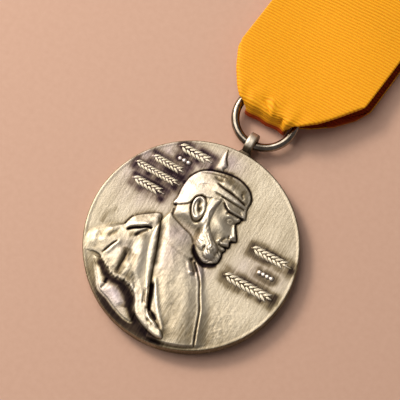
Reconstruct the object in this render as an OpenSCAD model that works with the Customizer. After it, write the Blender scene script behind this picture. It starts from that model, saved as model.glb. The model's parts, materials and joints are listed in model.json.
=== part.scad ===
// Commemorative medal on a folded grosgrain ribbon, worn by a pin brooch.
// It lies face up. The origin is the centre of the disc's back face, +X is the
// wearer's left, +Y runs up the ribbon and +Z comes out of the face.

/* [Disc] */
// Diameter of the medal
disc_d = 40; // [38:0.5:44]
// Thickness of the disc at its rim
disc_t = 3; // [2.8:0.1:3.6]
// Width of the flat border round the face
border_w = 0.6; // [0.4:0.1:1.2]
// Depth of the field below the border
field_drop = 0.25; // [0.1:0.05:0.5]
// Height of the head's highest point above the border
relief_h = 1.2; // [0.6:0.1:1.6]

/* [Suspension] */
// Outside radius of the eye's loop
eye_r = 2.2; // [2.1:0.05:2.4]
// Radius of the hole through the eye
eye_bore_r = 1.3; // [1.1:0.05:1.4]
// Width of the eye along its hole
eye_w = 1.7; // [1.2:0.1:2.4]
// Radius of the ring's centre line
ring_r = 5.7; // [5.5:0.1:6.2]
// Thickness of the ring's wire
wire_d = 1.6; // [1.2:0.1:1.8]

/* [Ribbon] */
// Width of the ribbon
ribbon_w = 26; // [24:0.5:28]
// Thickness of the ribbon
cloth_t = 0.4; // [0.3:0.05:0.4]
// Sideways lean of the ribbon, in degrees
lean = 6.3; // [0:0.1:8]
// Length from the shoulder of the fold to the ribbon's top
strip_len = 43; // [41:1:48]

/* [Brooch] */
// Length of the brooch plate
plate_len = 22; // [20:0.5:24]
// Width of the brooch plate
plate_w = 7; // [6.6:0.2:9]
// Thickness of the needle
needle_d = 0.7; // [0.5:0.05:0.75]

/* [Hidden] */
$fn = 96;

disc_r = disc_d / 2;
bevel = 0.25;
field_z = disc_t - field_drop;

// The eye stands on a flat seat cut in the rim, and the ring runs through it
seat_y = disc_r - 0.25;
foot_w = 3.2;
foot_z = [0.6, 2.7];
eye_y = disc_r + 2.4;
eye_z = eye_r;
wire_r = wire_d / 2;
ring_y = eye_y + ring_r;
butt_gap = 0.15;

// The fold passes through the ring between these sides
fold_half = 4.4;
fold_y = ring_y - 0.9;
corner_y = ring_y + 0.3;
corner_half = 6;
shoulder_y = ring_y + 9.6;
shoulder_x = 1.9;
// Heights of the ribbon's layers at the fold and under the stack at the top
back_z = 0.1;
crest_z = 5.4;
sag_z = 3.6;
lift_y = shoulder_y + 14;
level_y = shoulder_y + 24;

// Stack of the brooch, from the table up
pivot_z = 1.5;
plate_z = 3;
plate_t = 0.5;
back_top_z = plate_z + plate_t;
stiff_z = back_top_z + cloth_t;
stiff_t = 0.5;
front_top_z = stiff_z + stiff_t + cloth_t;
brooch_v = strip_len - 7;
needle_r = needle_d / 2;
hinge_u = 2.5 - plate_len / 2;
catch_u = plate_len / 2 - 3;
needle_len = catch_u - hinge_u + 1.8;
tip_len = 3;
rivet_r = 0.4;
barrel_r = 0.9;
barrel_half = 0.6;
cheek_gap = 0.7;
cheek_t = 0.5;
cheek_r = 1.1;
web_z = 2.7;
catch_r = 1.5;
catch_bore_r = 1.05;
catch_half = 1;
roller_r = 1;
roller_bore_r = 0.6;
roller_half = 1.6;
stitch_u = [-6.5, -2, 2, 6.5];
stitch_v = plate_w / 2 - 0.95;
stitch_half = 0.9;
thread_r = 0.3;

// Along the strip: u runs across it, v up it from the shoulder
module along_strip() {
    translate([shoulder_x, shoulder_y, 0]) rotate([0, 0, -lean]) children();
}
// A cylinder lying across the ribbon, from u = from to u = to
module along_u(r, from, to, r_end = -1) {
    translate([from, 0, 0]) rotate([0, 90, 0])
        cylinder(h = to - from, r1 = r, r2 = r_end < 0 ? r : r_end);
}
// A cylinder lying up the ribbon, centred on v = 0
module along_v(r, half) {
    rotate([90, 0, 0]) cylinder(h = 2 * half, r = r, center = true);
}

// Outlines of the relief, as seen from above: cape, coat, and head under its helmet
cape = [
    [-18, -7], [-16, -4], [-13, -2.3], [-12.2, -0.5], [-7.8, 2.1], [-6, -1.5], [-4, -7],
    [0, -14.5], [3.5, -18], [-2, -18], [-3.8, -14.5], [-8, -12.5], [-13.7, -10.2], [-17, -9]
];
coat = [
    [-6.5, 4.5], [-0.5, 1.5], [3.5, -3.5], [7, -8.5], [9.8, -16.5], [3.5, -18.6], [-4, -18.4],
    [-6, -1.5]
];
module relief() {
    base_z = 1;
    translate([0, 0, base_z]) linear_extrude(disc_t + 0.1 - base_z) polygon(coat);
    translate([0, 0, base_z]) linear_extrude(disc_t + 0.4 - base_z) polygon(cape);
    translate([-0.6, 5.6, base_z]) cylinder(h = disc_t + relief_h - 0.3 - base_z, r = 6);
    // Helmet: the upper part of a round cap, with its peak
    translate([0, 0, base_z]) linear_extrude(disc_t + relief_h - base_z) {
        difference() {
            translate([-0.5, 8.6]) circle(r = 6.6);
            translate([-10, 0]) square([20, 9]);
        }
        polygon([[1, 9.5], [5.9, 10], [6.3, 8.9], [2.5, 8.9]]);
    }
}
module medal_disc() {
    color("#b7a67f") difference() {
        union() {
            rotate_extrude() polygon([
                [0, 0], [disc_r - bevel, 0], [disc_r, bevel], [disc_r, disc_t - bevel],
                [disc_r - bevel, disc_t], [disc_r - border_w, disc_t],
                [disc_r - border_w - field_drop, field_z], [0, field_z]
            ]);
            relief();
        }
        translate([-foot_w / 2, seat_y, foot_z[0]])
            cube([foot_w, disc_r, foot_z[1] - foot_z[0]]);
    }
}
module suspension_eye() {
    neck_y = eye_y - eye_bore_r + 0.3;
    color("#a8976f") difference() {
        union() {
            translate([0, eye_y, eye_z]) along_u(eye_r, -eye_w / 2, eye_w / 2);
            translate([0, 0, foot_z[0]]) linear_extrude(foot_z[1] - foot_z[0]) polygon([
                [-foot_w / 2, seat_y], [foot_w / 2, seat_y],
                [eye_w / 2, neck_y], [-eye_w / 2, neck_y]
            ]);
        }
        translate([0, eye_y, eye_z]) along_u(eye_bore_r, -foot_w, foot_w);
    }
}
module suspension_ring() {
    butt_angle = 20;
    color("#c3b8a4") translate([0, ring_y, eye_z]) difference() {
        rotate_extrude() translate([ring_r, 0]) circle(r = wire_r, $fn = 48);
        rotate([0, 0, butt_angle]) translate([-butt_gap / 2, 0, -wire_d])
            cube([butt_gap, 2 * ring_r, 2 * wire_d]);
    }
}

// The ribbon seen from the side: one loop, front layer above and back layer below
loop_outside = [
    [fold_y, 2.6], [fold_y + 0.2, 4.2], [corner_y, crest_z], [corner_y + 2.5, crest_z],
    [shoulder_y, 4.4], [lift_y, sag_z], [level_y, front_top_z], [200, front_top_z],
    [200, back_top_z], [level_y, back_top_z], [lift_y, back_z], [corner_y + 0.6, back_z],
    [fold_y + 0.2, 1.2]
];
loop_inside = [
    [fold_y + cloth_t, 2.6], [fold_y + 0.2 + cloth_t, 4.05],
    [corner_y + 0.2, crest_z - cloth_t], [corner_y + 2.4, crest_z - cloth_t],
    [shoulder_y, 4.4 - cloth_t], [lift_y, sag_z - cloth_t],
    [level_y, front_top_z - cloth_t], [201, front_top_z - cloth_t],
    [201, stiff_z], [level_y, stiff_z], [lift_y, back_z + cloth_t],
    [corner_y + 0.7, back_z + cloth_t], [fold_y + 0.2 + cloth_t, 1.4]
];
// A point of the strip: u across it and v up it from the shoulder
function strip_point(u, v) = [
    shoulder_x + u * cos(lean) + v * sin(lean),
    shoulder_y - u * sin(lean) + v * cos(lean)
];
half_w = ribbon_w / 2;
front_outline = [
    [-fold_half, fold_y - 1], [fold_half, fold_y - 1], [fold_half, fold_y + 0.6],
    [corner_half, corner_y], strip_point(half_w, 1.4), strip_point(half_w, strip_len),
    strip_point(-half_w, strip_len), strip_point(-half_w, -1.4), [-corner_half, corner_y],
    [-fold_half, fold_y + 0.6]
];
back_outline = [
    [-fold_half, fold_y - 1], [fold_half, fold_y - 1], [fold_half, corner_y + 1.8],
    strip_point(half_w, 0.4), strip_point(half_w, strip_len),
    strip_point(-half_w, strip_len), strip_point(-half_w, -1.4),
    [-fold_half, corner_y + 1.8]
];
module layer(outline, from, to) {
    intersection() {
        translate([0, 0, from]) linear_extrude(to - from) polygon(outline);
        rotate([90, 0, 90]) linear_extrude(100, center = true) difference() {
            polygon(loop_outside);
            polygon(loop_inside);
        }
    }
}
module ribbon() {
    mid_z = 2.6;
    color("#fdb022") {
        layer(front_outline, mid_z, 8);
        layer(back_outline, 0, mid_z);
    }
}
module ribbon_stiffener() {
    color("#d9d2c0") along_strip()
        translate([-plate_len / 2, brooch_v - 8, stiff_z]) cube([plate_len, 14, stiff_t]);
}
module top_seam() {
    pitch = 2.2;
    color("#e0901a") along_strip() for (i = [-5:5])
        translate([i * pitch, strip_len - 2, front_top_z + 0.1])
            cube([1.4, 0.3, 0.2], center = true);
}
module brooch_plate() {
    end_r = plate_w / 2;
    color("#c9c5bc") along_strip() translate([0, brooch_v, plate_z]) difference() {
        union() {
            translate([-plate_len / 2 + end_r, -end_r, 0])
                cube([plate_len - plate_w, plate_w, plate_t]);
            for (s = [-1, 1]) translate([s * (plate_len / 2 - end_r), 0, 0])
                cylinder(h = plate_t, r = end_r);
        }
        stitch_legs(thread_r + 0.05);
    }
}
module stitch_legs(r) {
    for (u = stitch_u, s = [-1, 1], e = [-1, 1])
        translate([u + e * stitch_half, s * stitch_v, -plate_t]) cylinder(h = 2 * plate_t, r = r);
}
module plate_stitches() {
    bar_z = -2 * thread_r;
    color("#f0e6d0") along_strip() translate([0, brooch_v, plate_z]) {
        stitch_legs(thread_r);
        for (u = stitch_u, s = [-1, 1])
            translate([u - stitch_half, s * stitch_v - thread_r, bar_z])
                cube([2 * stitch_half, 2 * thread_r, 2 * thread_r]);
    }
}
// Places a piece of the brooch at u along the plate, at the needle's height
module on_brooch(u) {
    along_strip() translate([u, brooch_v, pivot_z]) children();
}
module hinge_bracket() {
    cheek_mid = cheek_gap + cheek_t / 2;
    color("#c9c5bc") on_brooch(hinge_u) difference() {
        union() {
            for (s = [-1, 1]) translate([0, s * cheek_mid, 0]) {
                along_v(cheek_r, cheek_t / 2);
                translate([-cheek_r, -cheek_t / 2, 0])
                    cube([2 * cheek_r, cheek_t, plate_z - pivot_z]);
            }
            translate([-cheek_r, -cheek_mid, web_z - pivot_z])
                cube([2 * cheek_r, 2 * cheek_mid, plate_z - web_z]);
        }
        along_v(rivet_r, 2);
    }
}
module hinge_rivet() {
    head_t = 0.25;
    head_v = cheek_gap + cheek_t + head_t / 2;
    color("#b4b0a8") on_brooch(hinge_u) {
        along_v(rivet_r, head_v);
        for (s = [-1, 1]) translate([0, s * head_v, 0]) along_v(rivet_r + 0.25, head_t / 2);
    }
}
module pin_needle() {
    color("#dedcd6") on_brooch(hinge_u) difference() {
        union() {
            along_v(barrel_r, barrel_half);
            along_u(needle_r, 0, needle_len - tip_len);
            along_u(needle_r, needle_len - tip_len, needle_len, 0.06);
        }
        along_v(rivet_r + 0.05, 2);
    }
}
module catch_base() {
    mouth = 1.4;
    color("#c9c5bc") on_brooch(catch_u) difference() {
        union() {
            along_u(catch_r, -catch_half, catch_half);
            translate([-catch_half, -1.1, 0.9]) cube([2 * catch_half, 2.2, plate_z - pivot_z - 0.9]);
        }
        along_u(catch_bore_r, -2, 2);
        translate([-2, -mouth / 2, -2]) cube([4, mouth, 2]);
    }
}
module catch_roller() {
    slot = needle_d + 0.2;
    tab_t = 0.5;
    color("#b4b0a8") on_brooch(catch_u) difference() {
        union() {
            along_u(roller_r, -roller_half, roller_half);
            translate([roller_half - tab_t, 0, -tab_t / 2]) cube([tab_t, 2, tab_t]);
        }
        along_u(roller_bore_r, -2, 2);
        translate([-2, -slot / 2, -2]) cube([4, slot, 2]);
    }
}

medal_disc();
suspension_eye();
suspension_ring();
ribbon();
ribbon_stiffener();
top_seam();
brooch_plate();
plate_stitches();
hinge_bracket();
hinge_rivet();
pin_needle();
catch_base();
catch_roller();
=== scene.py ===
"""The looks of a struck bronze medal on a folded grosgrain ribbon with a pin brooch.

Lengths in the shape functions are millimetres in the part's own frame; MM turns them to
metres. The disc lies face up with its centre at the origin and the ribbon up the Y axis.
"""

import json
import math

import bpy
import numpy as np
from mathutils import Matrix, Vector


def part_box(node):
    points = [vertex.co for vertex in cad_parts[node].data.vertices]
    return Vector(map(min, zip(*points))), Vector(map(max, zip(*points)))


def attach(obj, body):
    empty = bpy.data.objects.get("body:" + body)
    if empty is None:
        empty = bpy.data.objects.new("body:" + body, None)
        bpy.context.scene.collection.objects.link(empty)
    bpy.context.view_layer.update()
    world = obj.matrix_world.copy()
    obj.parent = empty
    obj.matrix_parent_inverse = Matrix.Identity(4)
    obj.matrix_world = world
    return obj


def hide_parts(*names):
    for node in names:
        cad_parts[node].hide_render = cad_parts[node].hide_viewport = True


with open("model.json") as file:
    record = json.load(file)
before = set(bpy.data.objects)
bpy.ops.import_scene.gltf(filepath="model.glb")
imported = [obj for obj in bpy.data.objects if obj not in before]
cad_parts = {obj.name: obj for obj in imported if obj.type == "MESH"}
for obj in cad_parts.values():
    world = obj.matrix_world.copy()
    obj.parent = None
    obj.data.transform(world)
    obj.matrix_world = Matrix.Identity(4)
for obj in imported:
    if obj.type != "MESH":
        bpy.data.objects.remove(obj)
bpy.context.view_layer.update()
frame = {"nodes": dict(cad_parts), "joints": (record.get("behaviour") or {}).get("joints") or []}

MM = 0.001
TAU = 2 * math.pi


def corner(node, which):
    """One corner of a CAD node's box in millimetres: 0 is the lowest, 1 the highest."""
    return np.array(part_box(node)[which]) / MM


joint_place = {j["name"]: np.array(j["pos_m"]) / MM for j in frame["joints"]}

# Disc
DISC_R = corner("medal_disc", 1)[0]
RIM_T = 3.0
BEVEL = 0.25
SEAM_Z = RIM_T / 2
BORDER_R = DISC_R - 0.32
FIELD_DROP = 0.05
# Suspension
EYE = joint_place["ring_swing"]
RING_LOW, RING_HIGH = corner("suspension_ring", 0), corner("suspension_ring", 1)
WIRE_R = (RING_HIGH[2] - RING_LOW[2]) / 2
RING_R = (RING_HIGH[0] - RING_LOW[0]) / 2 - WIRE_R
RING = (RING_LOW + RING_HIGH) / 2


# ---------------------------------------------------------------- curves and distances


def smooth_line(points, closed=False, per=6):
    """A Catmull-Rom curve through the points: each span is the cubic whose end slopes are half
    the step between the points on either side, cut into `per` straight pieces."""
    p = np.array(points, float)
    if closed:
        p = np.vstack([p[-1], p, p[0], p[1]])
    else:
        p = np.vstack([2 * p[0] - p[1], p, 2 * p[-1] - p[-2]])
    t = (np.arange(per) / per)[None, :, None]
    a, b, c, d = (p[i : len(p) - 3 + i, None, :] for i in range(4))
    line = 0.5 * (2 * b + (c - a) * t + (2 * a - 5 * b + 4 * c - d) * t**2
                  + (3 * b - a - 3 * c + d) * t**3)
    line = line.reshape(-1, p.shape[1])
    return line if closed else np.vstack([line, p[-2]])


def nearest(x, y, line, closed=False):
    """Distance from each point to a line of straight pieces, and how far along it (0 to 1)
    the nearest place is: the least over the pieces of the distance to the clamped foot."""
    ends = np.vstack([line, line[:1]]) if closed else line
    steps = np.hypot(*np.diff(ends, axis=0).T)
    run = np.concatenate([[0], np.cumsum(steps)])
    best = np.full(x.shape, 1e9)
    along = np.zeros(x.shape)
    for (x0, y0), (x1, y1), length, start in zip(ends[:-1], ends[1:], steps, run):
        dx, dy = x1 - x0, y1 - y0
        t = np.clip(((x - x0) * dx + (y - y0) * dy) / max(length**2, 1e-9), 0, 1)
        d = (x - x0 - t * dx) ** 2 + (y - y0 - t * dy) ** 2
        closer = d < best
        best = np.where(closer, d, best)
        along = np.where(closer, start + t * length, along)
    return np.sqrt(best), along / run[-1]


def depth_in(x, y, outline):
    """Signed distance to a closed outline, positive inside: the distance to its nearest side,
    with the sign from how many sides a ray to the right crosses."""
    d, _ = nearest(x, y, outline, closed=True)
    inside = np.zeros(x.shape, bool)
    for (x0, y0), (x1, y1) in zip(outline, np.roll(outline, -1, axis=0)):
        if y0 == y1:
            continue
        crosses = (y0 > y) != (y1 > y)
        inside ^= crosses & (x < (x1 - x0) * (y - y0) / (y1 - y0) + x0)
    return np.where(inside, d, -d)


def ease(t):
    """The smooth step 3t^2 - 2t^3, with t held between 0 and 1."""
    t = np.clip(t, 0, 1)
    return t * t * (3 - 2 * t)


def swell(d, w):
    """A rounded edge: the parabola 1 - (1 - d/w)^2, from 0 at d = 0 to 1 at d = w."""
    t = 1 - np.clip(d / w, 0, 1)
    return 1 - t * t


def mottle(x, y, cell, seed=0):
    """Smooth random unevenness from -1 to 1: a random number at each corner of a square
    lattice, from the fraction of a large sine, blended across each cell by the smooth step."""
    u, v = x / cell + 37.3 * seed, y / cell - 11.9 * seed
    i, j = np.floor(u), np.floor(v)

    def pick(a, b):
        n = np.sin(a * 127.1 + b * 311.7 + seed * 74.7) * 43758.5453
        return n - np.floor(n)

    a, b = ease(u - i), ease(v - j)
    low = pick(i, j) * (1 - a) + pick(i + 1, j) * a
    high = pick(i, j + 1) * (1 - a) + pick(i + 1, j + 1) * a
    return 2 * (low * (1 - b) + high * b) - 1


def stroke(x, y, points, w, taper=0.15, per=6):
    """A soft line along a curve: exp(-(distance / w)^2), fading out over `taper` of each end."""
    d, s = nearest(x, y, smooth_line(points, per=per))
    fade = ease(s / taper) * ease((1 - s) / taper) if taper else 1
    return np.exp(-((d / w) ** 2)) * fade


def bump(x, y, cx, cy, rx, ry, turn=0):
    """A soft round hill: exp(-(u/rx)^2 - (v/ry)^2), with u and v turned by `turn` degrees."""
    a = math.radians(turn)
    u = (x - cx) * math.cos(a) + (y - cy) * math.sin(a)
    v = (y - cy) * math.cos(a) - (x - cx) * math.sin(a)
    return np.exp(-((u / rx) ** 2) - (v / ry) ** 2)


def lay_over(h, top, d, edge=0.16):
    """Lays one level over another: where depth d is positive, the surface is `top`, reached
    over an edge of the given width."""
    return h + (top - h) * ease(d / edge)


# ---------------------------------------------------------------- the relief

COAT = smooth_line([
    (-6.4, 3.5), (-5.2, 3.0), (-3, 2.2), (-1, 1.6), (0.6, 0.2), (2.6, -1.6), (4.4, -3.0),
    (6.2, -4.8), (8.0, -7.0), (9.6, -9.4), (10.8, -12.2), (12.0, -15.2), (11.4, -17.6),
    (7.5, -20.2), (2, -20.4), (0.5, -17), (-2.5, -13), (-5, -8), (-7, -3), (-7.2, 1)],
    closed=True)
SLEEVE = smooth_line([
    (-14.4, -10.4), (-13.4, -12.2), (-12.0, -14), (-10.7, -15.6), (-8.5, -16.4), (-6.3, -17.4),
    (-3.6, -18.2), (-2.2, -17.6), (-4, -13), (-9, -10.5)], closed=True)
CAPE = smooth_line([
    (-7.5, 2.3), (-8.4, 2.35), (-9.6, 1.5), (-11.0, 0.5), (-12.0, -0.5), (-12.5, -1.8),
    (-12.75, -2.5), (-14.4, -3.1), (-16.1, -4.4), (-17.6, -6.2), (-18.6, -8.4), (-17.0, -10.4),
    (-14.8, -10.0), (-13.7, -10.1), (-12.6, -11.0), (-11.4, -11.6), (-10.4, -12.2),
    (-9.2, -12.6), (-7.8, -12.3), (-6.4, -12.5), (-5.0, -13.1), (-4.1, -14.1), (-3.3, -15.6),
    (-2.2, -16.8), (0, -17.8), (2.5, -18.5), (4.1, -18.2), (3.7, -17.2), (2.2, -16.3),
    (0.6, -15.6), (-0.4, -14.9), (-1.3, -13.4), (-2.3, -11.2), (-3.2, -8.9), (-3.9, -7.1),
    (-4.6, -5.0), (-5.4, -2.9), (-6.2, -0.9), (-6.9, 0.9)], closed=True)
HELMET = smooth_line([
    (-6.9, 5.15), (-6.75, 6.6), (-6.95, 8.4), (-6.85, 10.2), (-6.4, 11.6), (-5.5, 13.0),
    (-4.2, 13.9), (-2.6, 14.5), (-0.8, 14.95), (1.3, 15.1), (2.9, 14.75), (4.3, 14.1),
    (5.2, 13.2), (5.6, 12.2), (5.65, 11.2), (5.85, 10.3), (6.35, 9.1), (6.3, 8.85),
    (4.8, 8.8), (3.1, 8.75), (2.2, 9.2), (1.1, 9.95), (0.2, 9.7), (-0.8, 9.3), (-1.7, 9.0),
    (-2.8, 8.9), (-3.6, 8.2), (-3.9, 7.2), (-4.2, 6.5), (-5.4, 5.7)], closed=True)
# Brow, eye, nose and mouth stand on the usual proportions of a profile: from hairline to
# chin in three equal parts, with the mouth a third of the way from the nose to the chin.
# Crown and chin are set by the head's size on the disc, and the underside of the beard
# and the whiskers are drawn point by point.
CROWN_Y, CHIN_Y = 14.2, -0.3
FACE_PART = (CROWN_Y - CHIN_Y) * 0.292
BROW_Y = CHIN_Y + 2 * FACE_PART
NOSE_Y = CHIN_Y + FACE_PART
MOUTH_Y = NOSE_Y - FACE_PART / 3
EYE_Y = (CROWN_Y + CHIN_Y) / 2 + 0.2
FACE_X = 5.55
HEAD = smooth_line([
    (-6.0, 4.4), (-6.5, 7), (-6.2, 11), (0, 14.4), (5.0, 12), (FACE_X - 0.1, BROW_Y + 1.2),
    (FACE_X + 0.2, BROW_Y), (FACE_X - 0.25, EYE_Y + 0.15), (FACE_X + 0.3, EYE_Y - 0.9),
    (FACE_X + 1.25, NOSE_Y + 0.95), (FACE_X + 1.3, NOSE_Y + 0.45), (FACE_X + 0.55, NOSE_Y),
    (FACE_X + 0.6, NOSE_Y - 0.5), (FACE_X + 0.7, MOUTH_Y + 0.25), (FACE_X + 0.2, MOUTH_Y - 0.05),
    (FACE_X + 0.45, MOUTH_Y - 0.55), (FACE_X + 0.2, MOUTH_Y - 1.1), (FACE_X + 0.4, CHIN_Y + 0.7),
    (FACE_X + 0.3, CHIN_Y - 0.5), (4.9, -1.6), (3.6, -1.95), (2.3, -1.5), (1.1, -0.7),
    (0.2, 0.4), (-0.8, 1.6), (-3.2, 2.3), (-5.6, 3.1)], closed=True)
WHISKERS = smooth_line([
    (0.9, 9.9), (0.75, 8.2), (0.85, 6.4), (1.15, 4.9), (2.0, 3.8), (3.2, 2.7), (4.4, 2.0),
    (5.0, 1.2), (4.8, 0.3), (4.95, -0.5), (4.2, -1.15), (3.0, -1.05), (2.3, -0.4),
    (1.4, -0.1), (0.3, 0.7), (-0.6, 1.9), (-0.9, 3.6), (-0.7, 5.6), (-1.0, 7.6),
    (-0.8, 9.6)], closed=True)
SPIKE = np.array([
    (-3.5, 14.9), (-3.35, 16.4), (-3.28, 17.9), (-3.15, 19.5), (-3.0, 19.5), (-2.75, 18.5),
    (-2.3, 17.4), (-1.55, 16.4), (-1.45, 16.0), (-1.9, 15.4), (-1.6, 14.9)])


def field(r):
    """The flat field: a dish that drops away inside a narrow border over 0.5 mm and sinks
    by a further 0.15 mm towards the middle."""
    return -FIELD_DROP * ease((BORDER_R - r) / 0.5) - 0.15 * ease((BORDER_R - r) / 9)


OPENING = [(2.3, -2.7), (3.6, -4.0), (4.9, -5.5), (6.1, -7.7), (7.5, -10.1), (8.4, -12.6),
           (9.2, -14.8), (10.0, -16.8)]


def coat(x, y, h):
    """The coat: a broad swell that dies away into the field beyond its front opening, which
    is a groove between two lips; a collar with a seam under it, a small button, soft folds."""
    d = depth_in(x, y, COAT)
    level = h + 0.10 + 0.52 * swell(d, 6.0)
    far, _ = nearest(x, y, smooth_line(OPENING))
    level -= 0.20 * np.exp(-((far / 0.14) ** 2))
    level += 0.05 * np.exp(-(((far - 0.36) / 0.18) ** 2))
    left = ease(far / 2.5) * (x < np.interp(-y, [-p[1] for p in OPENING],
                                            [p[0] for p in OPENING]))
    level += 0.10 * left
    seam = [(-5.6, -1.4), (-3.4, -1.9), (-1.2, -2.3), (0.8, -2.5), (2.2, -2.6)]
    level -= 0.06 * stroke(x, y, seam, 0.3)
    level += 0.06 * bump(x, y, -3.2, 0.4, 2.6, 1.5, -14)
    level -= 0.22 * stroke(x, y, [(1.0, -2.2), (2.0, -3.0), (3.1, -4.2), (3.6, -5.2)], 0.4)
    level += 0.24 * bump(x, y, 2.5, -4.7, 0.40, 0.32) + 0.12 * bump(x, y, 1.5, -3.6, 0.3, 0.8, 35)
    for x0, y0, x1, y1, w, a in [
        (-2.0, -7.6, 2.6, -13.5, 0.9, 0.10), (3.0, -6.0, 6.0, -15.8, 1.1, 0.07),
        (0.2, -5.0, 1.2, -9.0, 1.0, -0.06), (2.6, -13.0, 5.4, -18.4, 0.9, -0.07)]:
        mid = ((x0 + x1) / 2 + 0.25, (y0 + y1) / 2)
        level += a * stroke(x, y, [(x0, y0), mid, (x1, y1)], w, 0.3)
    soft = 0.3 + 2.2 * ease((x - 3.5) / 3)
    return h + (level - h) * ease(d / soft)


def sleeve(x, y, h):
    """The sleeve under the cape: a low flat swell with two creases."""
    d = depth_in(x, y, SLEEVE)
    level = h + 0.10 + 0.26 * swell(d, 3.0)
    level -= 0.14 * stroke(x, y, [(-10.3, -13.0), (-10.0, -14.2), (-10.4, -15.4)], 0.3)
    level += 0.10 * stroke(x, y, [(-9.3, -14.2), (-7.6, -15.2), (-5.6, -16.4)], 0.9)
    return lay_over(h, level, d, 0.35)


def cape(x, y, h, under):
    """The cape: a high cloth that hangs from the collar, with its turned-down collar, a
    rolled front edge, broad folds and a ragged hem standing well clear of what is under it.
    Its level follows h, and its edges drop to `under`."""
    wobble = 0.10 * np.sin(x * 5.1 + 0.7 * y) + 0.07 * np.sin(x * 9.7 - 2.1 * y)
    d = depth_in(x, y, CAPE) + wobble * ease((-9.4 - y) / 2) * ease((-4.2 - x) / 1.5)
    low_left = ease((-13.2 - x) / 3.2)
    level = np.maximum(h, -0.12) + 0.20 + 0.62 * swell(d, 3.4) * (1 - 0.5 * low_left)
    level -= 0.14 * low_left
    # Rolled front edge, with the shade line behind it
    front = [(-7.9, 1.9), (-7.1, -0.2), (-6.1, -2.6), (-5.2, -5.2), (-4.4, -7.6), (-3.3, -10.6),
             (-2.3, -13.2), (-0.9, -15.6), (1.6, -17.2)]
    level += 0.20 * stroke(x, y, front, 0.75, 0.05)
    # Turned-down collar: a ridge over an undercut slit
    level += 0.16 * stroke(x, y, [(-12.4, -2.5), (-11.2, -1.8), (-9.6, -1.0), (-8.0, -0.4)], 0.5)
    level -= 0.50 * stroke(x, y, [(-11.8, -3.4), (-10.9, -2.6), (-9.7, -1.9), (-8.7, -1.2),
                                  (-7.5, -0.85)], 0.24, 0.12)
    level -= 0.25 * stroke(x, y, [(-7.9, -1.2), (-8.9, -2.3), (-9.9, -3.9)], 0.28, 0.2)
    # Shoulder folds
    for points, w, a in [
        ([(-13.9, -3.6), (-14.6, -5.6), (-14.4, -8.2)], 0.6, 0.12),
        ([(-12.4, -3.4), (-13.2, -4.7), (-14.0, -6.4)], 0.35, -0.10),
        ([(-16.4, -5.2), (-16.2, -7.2), (-15.4, -9.2)], 0.5, 0.10),
        ([(-11.9, -5.8), (-12.7, -7.4), (-13.5, -9.6)], 0.16, -0.22),
        ([(-11.4, -5.4), (-12.2, -7.4), (-12.9, -9.6)], 0.45, 0.14),
        ([(-9.7, -6.6), (-9.3, -8.2), (-9.3, -9.8), (-9.2, -11.8)], 0.34, -0.20),
        ([(-10.7, -6.6), (-10.4, -8.8), (-10.3, -11.4)], 0.7, 0.12),
        ([(-8.3, -7.4), (-7.8, -9.6), (-7.9, -11.6)], 0.6, 0.10),
        ([(-8.9, -3.2), (-7.4, -5.6), (-6.6, -8.8), (-6.2, -11.8)], 0.9, 0.14),
        ([(-9.9, -4.4), (-9.1, -6.2), (-7.6, -9.4)], 0.6, -0.12),
        ([(-6.9, -9.8), (-5.6, -11.2), (-4.5, -12.8)], 0.3, -0.14),
        ([(-3.1, -11.2), (-2.7, -12.6), (-2.0, -14.4)], 0.28, -0.18)]:
        level += a * stroke(x, y, points, w, 0.25)
    # Curled hem
    level += 0.16 * np.exp(-(((d - 0.5) / 0.45) ** 2)) * ease((-9.2 - y) / 2) * (1 - low_left)
    soft = 0.25 + 1.0 * ease((-12.2 - x) / 2) * ease((y + 9.5) / 1.5)
    return under + (level - under) * ease(d / soft)


def lapel(x, y, h):
    """The turned edge of the coat beside the cape: a narrow bright roll beside a deep slit."""
    roll = [(-2.9, -8.3), (-1.7, -10.3), (-0.3, -12.4), (1.2, -14.4), (2.7, -16.0), (3.8, -17.6)]
    h = h + 0.22 * stroke(x, y, roll, 0.45, 0.12)
    slit = [(-2.7, -9.4), (-2.0, -11.0), (-1.4, -12.6), (-0.8, -14.2), (-0.2, -15.0)]
    h = h - 0.42 * stroke(x, y, slit, 0.30, 0.2)
    for cx, cy, rx, ry, turn, a in [
        (0.7, -15.2, 0.9, 0.22, -32, -0.30), (1.5, -16.2, 0.8, 0.30, -30, 0.16),
        (0.4, -16.4, 0.8, 0.25, -28, -0.22), (2.4, -16.6, 0.35, 0.5, 0, -0.14)]:
        h = h + a * bump(x, y, cx, cy, rx, ry, turn)
    return h


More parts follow.
